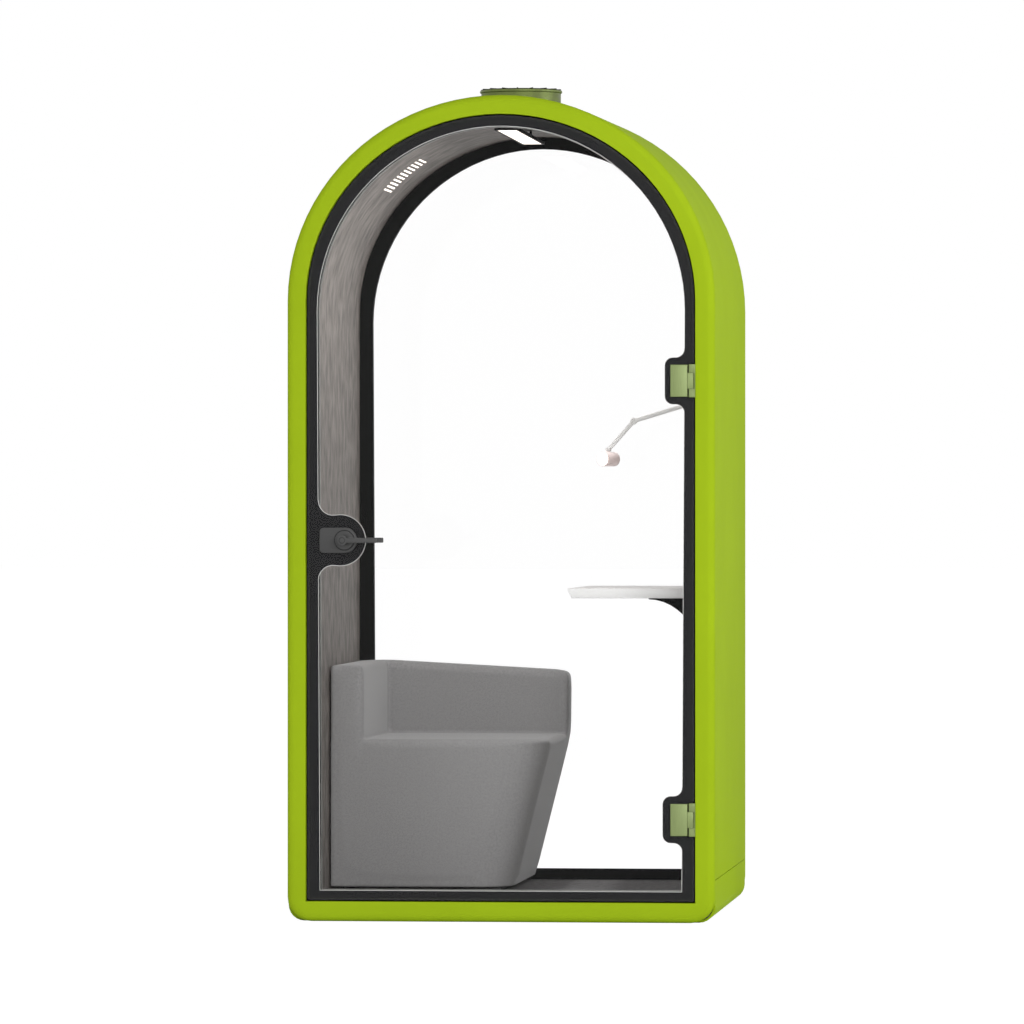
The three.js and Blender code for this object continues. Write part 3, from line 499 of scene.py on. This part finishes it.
def blush_coat(finishes):
    """Faintly pink powder coat on the lamp's head: satin with a fine grit, and a painted glow that brightens
    the coat, which is no lamp.
    """
    material, tree, shader, coords = begin("blush powder coat", Emission_Strength=0.14)
    grit = clouds(tree, coords, 1.5 * MM, 2.0)
    coat = surface(tree, shader, grit, tones(finishes.lamp_head, 0.96, 1.03), rough=(0.4, 0.5))
    # Painted light: the coat's own colour glows faintly, so the head looks lit
    tree.links.new(coat, shader.inputs["Emission Color"])
    return material


def lit_opal(finishes):
    """Opal plastic lit from behind: almost even light with a slight cloudiness."""
    material, tree, shader, coords = begin("lit opal plastic", Roughness=0.5, Emission_Strength=1.6)
    light = surface(tree, shader, clouds(tree, coords, 40 * MM), tones(finishes.glow, 0.94, 1.0))
    tree.links.new(light, shader.inputs["Emission Color"])
    return material


def galvanised_sheet(finishes):
    """Galvanised steel sheet: dull grey-green spangle, 12 mm crystals."""
    material, tree, shader, coords = begin("galvanised sheet", Metallic=0.6)
    spangle = add(tree, "ShaderNodeTexVoronoi", {"Vector": coords, "Scale": 1 / (12 * MM)})
    facet = add(tree, "ShaderNodeSeparateColor", {"Color": spangle.outputs["Color"]}).outputs["Red"]
    surface(tree, shader, facet, tones(finishes.cowl, 0.8, 1.2), 0.5, (0.4, 0.6))
    return material


def fan_plastic(finishes):
    """Moulded glass-filled plastic: dark, matt, with a faint flow pattern."""
    material, tree, shader, coords = begin("glass-filled plastic")
    flow = clouds(tree, coords, 8 * MM, 4.0)
    surface(tree, shader, flow, tones(finishes.plastic, 0.8, 1.3), rough=(0.5, 0.65))
    return material


FINISHES = {
    "green_moulding": lacquered_moulding,
    "acoustic_felt": needled_felt,
    "wood_look_panel": wood_look_laminate,
    "plywood": bare_plywood,
    "carpet": loop_carpet,
    "black_aluminium": powder_coat,
    "black_print": ceramic_print,
    "clear_glass": clear_glass,
    "black_rubber": black_rubber,
    "pale_edging": anodised_edging,
    "hinge_metal": brushed_hinge,
    "bright_steel": bright_steel,
    "dark_metal": dark_satin_metal,
    "grey_fabric": woven_upholstery,
    "black_board": black_board,
    "white_top": white_laminate,
    "black_bracket": powder_coat,
    "white_metal": pale_coat,
    "lamp_head": blush_coat,
    "lamp_glow": lit_opal,
    "galvanised": galvanised_sheet,
    "black_grille": powder_coat,
    "black_plastic": fan_plastic,
}
made_finishes = {}


def finish_for(slot):
    """The material of a slot, made once for each kind of finish."""
    maker = FINISHES[slot]
    if maker not in made_finishes:
        made_finishes[maker] = maker(bpy.context.scene.pod_finishes)
    return made_finishes[maker]


def dress(nodes, rounding=0.0):
    """Gives CAD nodes their finish, smooth curves and, where asked, rounded edges."""
    for name in nodes:
        node = frame["nodes"][name]
        mesh = node.data
        mesh.materials.clear()
        # The lamp's head has a finish under its own name; the others have that of their slot
        mesh.materials.append(finish_for(name if name in FINISHES else SLOT_OF[name]))
        if "custom_normal" in mesh.attributes:
            mesh.attributes.remove(mesh.attributes["custom_normal"])
        mesh.shade_smooth()
        weld = node.modifiers.new("Weld", "WELD")
        weld.merge_threshold = WELD
        if rounding:
            bevel = node.modifiers.new("Rounded edges", "BEVEL")
            bevel.width = rounding
            bevel.segments = 2
            bevel.limit_method = "ANGLE"
            bevel.angle_limit = CREASE
            # Unclamped, the rounding keeps its width beside short edges, but overshoots on the levers
            bevel.use_clamp_overlap = name.startswith("lever")
        split = node.modifiers.new("Sharp edges", "EDGE_SPLIT")
        split.split_angle = CREASE
        split.use_edge_sharp = False


def piece_from(form, name, body, slot):
    """Makes a new piece of the object from a bmesh, with its finish, on a body."""
    mesh = bpy.data.meshes.new(name)
    form.to_mesh(mesh)
    form.free()
    mesh.materials.append(finish_for(slot))
    piece = bpy.data.objects.new(name, mesh)
    bpy.context.scene.collection.objects.link(piece)
    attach(piece, body)
    return piece


class POD_OT_dress_cabin(bpy.types.Operator):
    """Finish the shell, walls, floor and lining"""

    bl_idname = "pod.dress_cabin"
    bl_label = "Dress cabin"

    def execute(self, context):
        dress(["front_rim", "rear_rim", "outer_shell", "base_tray"])
        dress(["wall_core", "floor_core", "floor_deck", "carpet", "lining"])
        return {"FINISHED"}


class POD_OT_dress_glazing(bpy.types.Operator):
    """Finish the door, the rear window and their frames"""

    bl_idname = "pod.dress_glazing"
    bl_label = "Dress glazing"

    def execute(self, context):
        rounding = context.scene.pod_fittings.edge_round
        dress(["door_glass", "rear_glass", "door_border", "rear_border"])
        dress(["door_seal", "door_seal_hinge_side", "rear_gasket", "front_edging", "rear_edging"])
        dress(["door_stop_frame", "rear_frame"], rounding)
        return {"FINISHED"}


class POD_OT_dress_hardware(bpy.types.Operator):
    """Finish the hinges and the lock"""

    bl_idname = "pod.dress_hardware"
    bl_label = "Dress hardware"

    def execute(self, context):
        rounding = context.scene.pod_fittings.edge_round
        for place in ("upper", "lower"):
            dress([f"hinge_{place}_{part}" for part in ("block", "leaf_outer", "leaf_inner")], rounding)
            dress([f"hinge_{place}_pin"])
        dress(["lock_plate_outer", "lock_case_inner", "lever_outer", "lever_inner"], rounding)
        dress(["lock_spindle", "latch_bolt", "latch_keeper"])
        return {"FINISHED"}


class POD_OT_dress_furniture(bpy.types.Operator):
    """Finish the desk, the lamp and the plinth of the bench"""

    bl_idname = "pod.dress_furniture"
    bl_label = "Dress furniture"

    def execute(self, context):
        rounding = context.scene.pod_fittings.edge_round
        dress(["desk_top", "desk_bracket_front", "desk_bracket_rear", "bench_plinth"], rounding)
        dress(["lamp_wall_plate", "lamp_swivel", "lamp_upper_arm", "lamp_lower_arm", "lamp_head"], rounding)
        dress(["lamp_lens"])
        return {"FINISHED"}


class POD_OT_dress_services(bpy.types.Operator):
    """Finish the ceiling luminaire and the roof fan"""

    bl_idname = "pod.dress_services"
    bl_label = "Dress services"

    def execute(self, context):
        rounding = context.scene.pod_fittings.edge_round
        dress(["luminaire_housing", "luminaire_diffuser"], rounding)
        dress(["fan_cowl", "fan_grille", "fan_motor", "fan_impeller"])
        return {"FINISHED"}


class POD_OT_upholster_bench(bpy.types.Operator):
    """Cover the bench in one filled cloth over its back, seat and wing"""

    bl_idname = "pod.upholster_bench"
    bl_label = "Upholster bench"

    def execute(self, context):
        bench = context.scene.pod_bench
        back_low, back_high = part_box("bench_backrest")
        wing_low, wing_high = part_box("bench_wing")
        left, foot, front, rear = back_low.x, back_low.z, back_low.y, back_high.y
        seat_right, seat_top = wing_high.x - bench.wing_overhang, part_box("bench_seat")[1].z
        foot_right = seat_right - bench.seat_taper
        wing_top = back_high.z - bench.wing_slope
        seat = self.block(
            [(left, foot), (foot_right, foot), (seat_right, seat_top), (left, seat_top)], front, rear
        )
        self.round(seat, bench.front_edge, lambda a, b: max(a.y, b.y) < front + NEAR
                   and min(a.x, b.x) > foot_right - NEAR)
        self.round(seat, bench.top_edge, lambda a, b: min(a.z, b.z) > seat_top - NEAR
                   and min(a.y, b.y) < rear - NEAR and max(a.x, b.x) > left + NEAR)
        back = self.block(
            [(left, foot), (back_high.x, foot), (back_high.x, back_high.z), (left, back_high.z)], front, rear
        )
        self.round(back, bench.top_edge, lambda a, b: max(a.y, b.y) < front + NEAR
                   and abs(a.x - b.x) < NEAR)
        self.round(back, bench.top_edge, lambda a, b: min(a.z, b.z) > back_high.z - NEAR)
        wing = self.block(
            [
                (left, foot), (foot_right, foot), (seat_right, seat_top), (wing_high.x, wing_top),
                (back_high.x, back_high.z), (left, back_high.z),
            ],
            wing_low.y, rear,
        )
        self.round(wing, bench.wing_corner, lambda a, b: abs(a.y - b.y) > NEAR
                   and min(a.x, b.x) > seat_right - NEAR and a.z > seat_top + NEAR)
        self.round(wing, bench.top_edge, lambda a, b: abs(a.y - b.y) < NEAR
                   and max(a.z, b.z) > seat_top + NEAR)
        form = bmesh.new()
        for block in (seat, back, wing):
            mesh = bpy.data.meshes.new("bench block")
            block.to_mesh(mesh)
            block.free()
            form.from_mesh(mesh)
            bpy.data.meshes.remove(mesh)
        cover = piece_from(form, "bench_upholstery", "pod", "grey_fabric")
        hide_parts("bench_seat", "bench_backrest", "bench_wing")
        remesh = cover.modifiers.new("Cloth grain", "REMESH")
        remesh.mode = "VOXEL"
        remesh.voxel_size = bench.voxel
        smooth = cover.modifiers.new("Soft edges", "SMOOTH")
        smooth.iterations = 2
        cover.data = self.settled(context, cover)
        start = [vert.co - vert.normal * bench.draw_in for vert in cover.data.vertices]
        cover.data.vertices.foreach_set("co", [c for place in start for c in place])
        held = cover.vertex_groups.new(name="held")
        fixed = [i for i, p in enumerate(start) if p.z < foot + bench.held or p.x < left + bench.held]
        held.add(fixed, 1.0, "ADD")
        self.fill(context, cover, bench)
        for vert, place in zip(cover.data.vertices, start):
            move = vert.co - place
            if move.length > bench.swell:
                vert.co = place + move.normalized() * bench.swell
        relax = cover.modifiers.new("Relaxed cloth", "SMOOTH")
        relax.iterations = 2
        cover.data = self.settled(context, cover)
        cover.vertex_groups.clear()
        cover.data.shade_smooth()
        return {"FINISHED"}

    def block(self, outline, front, rear):
        """A block with that outline of x and z, from front to rear."""
        form = bmesh.new()
        face = form.faces.new([form.verts.new((x, front, z)) for x, z in outline])
        moved = bmesh.ops.extrude_face_region(form, geom=[face])["geom"]
        bmesh.ops.translate(
            form,
            verts=[item for item in moved if isinstance(item, bmesh.types.BMVert)],
            vec=(0, rear - front, 0),
        )
        bmesh.ops.recalc_face_normals(form, faces=form.faces)
        return form

    def round(self, form, radius, wanted):
        """Rounds the edges whose two ends are wanted."""
        edges = [edge for edge in form.edges if wanted(*(vert.co for vert in edge.verts))]
        if not edges:
            raise RuntimeError("the bench has no such edge to round")
        bmesh.ops.bevel(
            form, geom=edges, offset=radius, offset_type="OFFSET", affect="EDGES", segments=10, profile=0.5,
            material=-1, clamp_overlap=True,
        )

    def settled(self, context, cover):
        """The cover's mesh with its modifiers applied, which are then removed."""
        graph = context.evaluated_depsgraph_get()
        mesh = bpy.data.meshes.new_from_object(cover.evaluated_get(graph))
        cover.modifiers.clear()
        return mesh

    def fill(self, context, cover, bench):
        """Swells the cover as cloth under pressure, held at its foot and along the wall."""
        cloth = cover.modifiers.new("Filling", "CLOTH")
        cloth.settings.quality = 4
        cloth.settings.tension_stiffness = 40
        cloth.settings.compression_stiffness = 40
        cloth.settings.bending_stiffness = 4
        cloth.settings.use_pressure = True
        cloth.settings.uniform_pressure_force = bench.pressure
        cloth.settings.effector_weights.gravity = 0
        cloth.settings.vertex_group_mass = "held"
        cloth.collision_settings.use_collision = False
        cloth.point_cache.frame_start = 1
        cloth.point_cache.frame_end = bench.steps
        for step in range(1, bench.steps + 1):
            context.scene.frame_set(step)
        cover.data = self.settled(context, cover)
        context.scene.frame_set(1)


class POD_OT_fit_screws(bpy.types.Operator):
    """Fit the clamp screws of the inner hinge leaves, inside the cabin"""

    bl_idname = "pod.fit_screws"
    bl_label = "Fit screws"

    def execute(self, context):
        fittings = context.scene.pod_fittings
        form = bmesh.new()
        for place in ("upper", "lower"):
            low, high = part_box(f"hinge_{place}_leaf_inner")
            for share in SCREW_SHARES:
                height = low.z + (high.z - low.z) * share
                self.screw(form, Vector(((low.x + high.x) / 2, high.y, height)), fittings)
        piece_from(form, "hinge_clamp_screws", "door", "bright_steel").data.shade_flat()
        return {"FINISHED"}

    def screw(self, form, place, fittings):
        """A low round head with a round recess, facing into the cabin."""
        turn = Matrix.Translation(place) @ Matrix.Rotation(-math.pi / 2, 4, "X")
        head = bmesh.ops.create_circle(
            form, cap_ends=True, segments=24, radius=fittings.screw_radius, matrix=turn
        )["verts"]
        disc = head[0].link_faces[0]
        if disc.normal.y < 0:
            disc.normal_flip()
        top = bmesh.ops.extrude_face_region(form, geom=[disc])["geom"]
        rim = [item for item in top if isinstance(item, bmesh.types.BMVert)]
        bmesh.ops.translate(form, verts=rim, vec=(0, fittings.screw_rise, 0))
        face = [item for item in top if isinstance(item, bmesh.types.BMFace)]
        bmesh.ops.inset_region(form, faces=face, thickness=fittings.screw_radius / 2)
        sunk = bmesh.ops.extrude_face_region(form, geom=face)["geom"]
        bmesh.ops.translate(
            form,
            verts=[item for item in sunk if isinstance(item, bmesh.types.BMVert)],
            vec=(0, -fittings.recess_depth, 0),
        )


class POD_OT_ring_lock(bpy.types.Operator):
    """Lay a black ring round the foot of the outer rose, and one round the cap of the outer lever, as
    painted shade for the shadow gaps there
    """

    bl_idname = "pod.ring_lock"
    bl_label = "Ring lock"

    def execute(self, context):
        fittings = context.scene.pod_fittings
        low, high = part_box("lock_plate_outer")
        spindle = Vector((high.x - fittings.lock_radius, low.y + fittings.rose_thick, (low.z + high.z) / 2))
        rose = fittings.rose_radius + fittings.shade_ring_wire
        # Painted shade: black rings stand for the shadow in the gaps round the rose and the cap
        self.ring("lock_rose_ring", "door", spindle, rose, fittings.shade_ring_wire)
        spindle.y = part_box("lever_outer")[0].y
        self.ring("lever_cap_ring", "handle", spindle, fittings.cap_radius, fittings.shade_ring_wire / 2)
        return {"FINISHED"}

    def ring(self, name, body, middle, radius, wire):
        """A round ring in the plane of the door."""
        form = bmesh.new()
        bmesh.ops.create_circle(
            form, segments=10, radius=wire, matrix=Matrix.Translation(middle + Vector((radius, 0, 0)))
        )
        bmesh.ops.spin(
            form, geom=form.verts[:] + form.edges[:], cent=middle, axis=(0, 1, 0), angle=math.tau, steps=48,
            use_merge=True,
        )
        bmesh.ops.recalc_face_normals(form, faces=form.faces)
        piece_from(form, name, body, "black_rubber").data.shade_smooth()


class POD_OT_light_vent(bpy.types.Operator):
    """Set a lit bar in each vent slot of the lining"""

    bl_idname = "pod.light_vent"
    bl_label = "Light vent"

    def execute(self, context):
        fittings = context.scene.pod_fittings
        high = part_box("lining")[1]
        across = high.x - fittings.lining_thick
        rise = high.z - fittings.lining_thick - fittings.vent_spring
        run = fittings.vent_rear - fittings.vent_front
        form = bmesh.new()
        for i in range(fittings.vent_slots):
            angle = fittings.vent_angle + (i - (fittings.vent_slots - 1) / 2) * fittings.vent_pitch / across
            mouth = Vector((across * math.cos(angle), 0, fittings.vent_spring + rise * math.sin(angle)))
            mouth.y = fittings.vent_front + run / 2
            sunk = Matrix.Translation((fittings.bar_sunk + fittings.bar_thick / 2, 0, 0))
            # Half a millimetre of room at each end of the slot
            size = Matrix.Diagonal((fittings.bar_thick, run - MM, fittings.bar_width, 1))
            place = Matrix.Translation(mouth) @ Matrix.Rotation(-angle, 4, "Y") @ sunk @ size
            bmesh.ops.create_cube(form, size=1, matrix=place)
        piece_from(form, "vent_light_bars", "pod", "lamp_glow")
        return {"FINISHED"}


class POD_OT_guard_fan(bpy.types.Operator):
    """Lay a wire guard on the lip of the fan cowl"""

    bl_idname = "pod.guard_fan"
    bl_label = "Guard fan"

    def execute(self, context):
        fittings = context.scene.pod_fittings
        low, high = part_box("fan_cowl")
        wire = fittings.guard_wire
        middle = Vector(((low.x + high.x) / 2, (low.y + high.y) / 2, high.z + wire))
        reach = (high.x - low.x) / 2 - 3 * wire
        form = bmesh.new()
        for share in fittings.guard_rings:
            out = Matrix.Translation(middle + Vector((reach * share, 0, 0)))
            ring = bmesh.ops.create_circle(
                form, segments=8, radius=wire, matrix=out @ Matrix.Rotation(math.pi / 2, 4, "X")
            )["verts"]
            bmesh.ops.spin(
                form, geom=ring + [edge for edge in form.edges if edge.verts[0] in ring], cent=middle,
                axis=(0, 0, 1), angle=math.tau, steps=64, use_merge=True,
            )
        bmesh.ops.recalc_face_normals(form, faces=form.faces)
        piece_from(form, "fan_guard_rings", "pod", "black_grille").data.shade_smooth()
        form = bmesh.new()
        for i in range(fittings.guard_spokes):
            turn = Matrix.Rotation(math.tau * i / fittings.guard_spokes, 4, "Z")
            lie = Matrix.Translation((reach / 2, 0, 2 * wire)) @ Matrix.Rotation(math.pi / 2, 4, "Y")
            bmesh.ops.create_cone(
                form, cap_ends=True, segments=8, radius1=wire, radius2=wire, depth=reach,
                matrix=Matrix.Translation(middle) @ turn @ lie,
            )
        piece_from(form, "fan_guard_spokes", "pod", "black_grille").data.shade_smooth()
        return {"FINISHED"}


class POD_OT_line_border(bpy.types.Operator):
    """Draw a painted highlight: a pale line along the inner edge of the border printed on the door, where
    the edge of the print catches the light
    """

    bl_idname = "pod.line_border"
    bl_label = "Line border"

    def execute(self, context):
        fittings = context.scene.pod_fittings
        form = bmesh.new()
        form.from_mesh(frame["nodes"]["door_border"].data)
        bmesh.ops.remove_doubles(form, verts=form.verts, dist=WELD)
        form.normal_update()
        # Only the faces that look out of the door are left
        bmesh.ops.delete(form, geom=[face for face in form.faces if face.normal.y > -0.9], context="FACES")
        loops = self.loops([edge for edge in form.edges if edge.is_boundary])
        # The tallest loop is the outer edge of the border, and the next one its inner edge
        inner = sorted(loops, key=self.height)[-2]
        bmesh.ops.delete(form, geom=list(set(form.edges) - set(inner)), context="EDGES")
        pane = bmesh.ops.contextual_create(form, geom=inner)["faces"]
        bmesh.ops.inset_region(
            form, faces=pane, thickness=fittings.line_width, use_boundary=True, use_even_offset=True
        )
        bmesh.ops.delete(form, geom=pane, context="FACES")
        bmesh.ops.recalc_face_normals(form, faces=form.faces)
        bmesh.ops.solidify(form, geom=form.faces[:], thickness=fittings.highlight_line_thick)
        bmesh.ops.recalc_face_normals(form, faces=form.faces)
        # A painted highlight in pale coat, for the light that the edge of the print catches
        piece_from(form, "door_border_line", "door", "white_metal")
        return {"FINISHED"}

    def loops(self, edges):
        """The edges sorted into loops that hang together."""
        rest = set(edges)
        found = []
        while rest:
            loop, front = [], [rest.pop()]
            while front:
                edge = front.pop()
                loop.append(edge)
                near = {other for vert in edge.verts for other in vert.link_edges if other in rest}
                rest -= near
                front.extend(near)
            found.append(loop)
        return found

    def height(self, loop):
        """How far a loop reaches upwards, from its lowest vertex to its highest."""
        heights = [vert.co.z for edge in loop for vert in edge.verts]
        return max(heights) - min(heights)


class POD_OT_set_stage(bpy.types.Operator):
    """Make the white studio: floor, world, soft lights and camera"""

    bl_idname = "pod.set_stage"
    bl_label = "Set stage"

    def execute(self, context):
        stage = context.scene.pod_stage
        context.scene.view_settings.view_transform = "Standard"
        self.floor(context, stage)
        self.world(context, stage)
        for name, (place, size) in STUDIO_LIGHTS.items():
            self.lamp(context, f"{name} light", getattr(stage, name), place, size)
        self.cabin_light(context, stage)
        camera = bpy.data.cameras.new("camera")
        camera.lens = stage.lens
        camera.sensor_width = 36
        camera.clip_end = 500
        holder = bpy.data.objects.new("camera", camera)
        holder.location = stage.camera_at
        holder.rotation_euler = (math.pi / 2, 0, stage.camera_turn)
        context.scene.collection.objects.link(holder)
        context.scene.camera = holder
        return {"FINISHED"}

    def seen(self, tree):
        """1 for rays that show a background: straight from the camera, mirrored, or through glass."""
        path = add(tree, "ShaderNodeLightPath").outputs
        mirrored = add(
            tree, "ShaderNodeMath", {0: path["Is Camera Ray"], 1: path["Is Glossy Ray"]}, operation="MAXIMUM"
        )
        return add(
            tree, "ShaderNodeMath", {0: mirrored.outputs["Value"], 1: path["Is Transmission Ray"]},
            operation="MAXIMUM",
        ).outputs["Value"]

    def floor(self, context, stage):
        """A pale floor that shows as white, with a soft shadow left in it."""
        form = bmesh.new()
        bmesh.ops.create_grid(form, x_segments=1, y_segments=1, size=stage.floor_size / 2)
        mesh = bpy.data.meshes.new("studio_floor")
        form.to_mesh(mesh)
        form.free()
        floor = bpy.data.objects.new("studio_floor", mesh)
        context.scene.collection.objects.link(floor)
        material = bpy.data.materials.new("pale studio floor")
        material.use_nodes = True
        tree = material.node_tree
        tree.nodes.clear()
        paint = add(tree, "ShaderNodeBsdfDiffuse", {"Color": shade(stage.floor)})
        white = add(tree, "ShaderNodeEmission", {"Color": (1, 1, 1, 1), "Strength": stage.floor_white})
        kept = add(tree, "ShaderNodeMath", {0: self.seen(tree), 1: stage.floor_share}, operation="MULTIPLY")
        mix = add(
            tree, "ShaderNodeMixShader",
            {"Fac": kept.outputs["Value"], 1: paint.outputs["BSDF"], 2: white.outputs["Emission"]},
        )
        add(tree, "ShaderNodeOutputMaterial", {"Surface": mix.outputs["Shader"]})
        mesh.materials.append(material)

    def world(self, context, stage):
        """White to the eye, and a plain ambient light on the object."""
        world = bpy.data.worlds.new("white studio")
        world.use_nodes = True
        tree = world.node_tree
        tree.nodes.clear()
        light = add(tree, "ShaderNodeBackground", {"Color": (1, 1, 1, 1), "Strength": stage.ambient})
        white = add(tree, "ShaderNodeBackground", {"Color": (1, 1, 1, 1), "Strength": 1.0})
        mix = add(
            tree, "ShaderNodeMixShader",
            {"Fac": self.seen(tree), 1: light.outputs["Background"], 2: white.outputs["Background"]},
        )
        add(tree, "ShaderNodeOutputWorld", {"Surface": mix.outputs["Shader"]})
        context.scene.world = world

    def lamp(self, context, name, power, place, size):
        """A large square soft light turned to the middle of the pod."""
        light = bpy.data.lights.new(name, "AREA")
        light.energy = power
        light.size = size
        holder = bpy.data.objects.new(name, light)
        holder.location = place
        aim = (CAD_BOX[0] + CAD_BOX[1]) / 2 - Vector(place)
        holder.rotation_euler = aim.to_track_quat("-Z", "Y").to_euler()
        context.scene.collection.objects.link(holder)

    def cabin_light(self, context, stage):
        """The light that the ceiling luminaire sheds."""
        low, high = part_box("luminaire_diffuser")
        light = bpy.data.lights.new("cabin light", "AREA")
        light.shape = "RECTANGLE"
        light.size = high.x - low.x
        light.size_y = high.y - low.y
        light.energy = stage.cabin
        holder = bpy.data.objects.new("cabin light", light)
        holder.location = ((low.x + high.x) / 2, (low.y + high.y) / 2, low.z - stage.cabin_drop)
        context.scene.collection.objects.link(holder)


class POD_PT_panel(bpy.types.Panel):
    """Sizes, colours and steps of the office pod"""

    bl_idname = "POD_PT_panel"
    bl_label = "Office pod"
    bl_space_type = "VIEW_3D"
    bl_region_type = "UI"
    bl_category = "Office pod"

    def draw(self, context):
        for operator in OPERATORS:
            self.layout.operator(operator.bl_idname)
        for settings in SETTINGS:
            group = getattr(context.scene, settings)
            box = self.layout.box()
            for key in group.__annotations__:
                box.prop(group, key)


OPERATORS = (
    POD_OT_dress_cabin,
    POD_OT_dress_glazing,
    POD_OT_dress_hardware,
    POD_OT_dress_furniture,
    POD_OT_dress_services,
    POD_OT_upholster_bench,
    POD_OT_fit_screws,
    POD_OT_ring_lock,
    POD_OT_light_vent,
    POD_OT_guard_fan,
    POD_OT_line_border,
    POD_OT_set_stage,
)
SETTINGS = {
    "pod_finishes": PodFinishes,
    "pod_bench": PodBench,
    "pod_fittings": PodFittings,
    "pod_stage": PodStage,
}


def register():
    for group in SETTINGS.values():
        bpy.utils.register_class(group)
    for name, group in SETTINGS.items():
        setattr(bpy.types.Scene, name, PointerProperty(type=group))
    for operator in OPERATORS:
        bpy.utils.register_class(operator)
    bpy.utils.register_class(POD_PT_panel)


def unregister():
    bpy.utils.unregister_class(POD_PT_panel)
    for operator in reversed(OPERATORS):
        bpy.utils.unregister_class(operator)
    for name in SETTINGS:
        delattr(bpy.types.Scene, name)
    for group in reversed(list(SETTINGS.values())):
        bpy.utils.unregister_class(group)


def main():
    register()
    bpy.ops.pod.dress_cabin()
    bpy.ops.pod.dress_glazing()
    bpy.ops.pod.dress_hardware()
    bpy.ops.pod.dress_furniture()
    bpy.ops.pod.dress_services()
    bpy.ops.pod.upholster_bench()
    bpy.ops.pod.fit_screws()
    bpy.ops.pod.ring_lock()
    bpy.ops.pod.light_vent()
    bpy.ops.pod.guard_fan()
    bpy.ops.pod.line_border()
    bpy.ops.pod.set_stage()


if __name__ == "__main__":
    main()
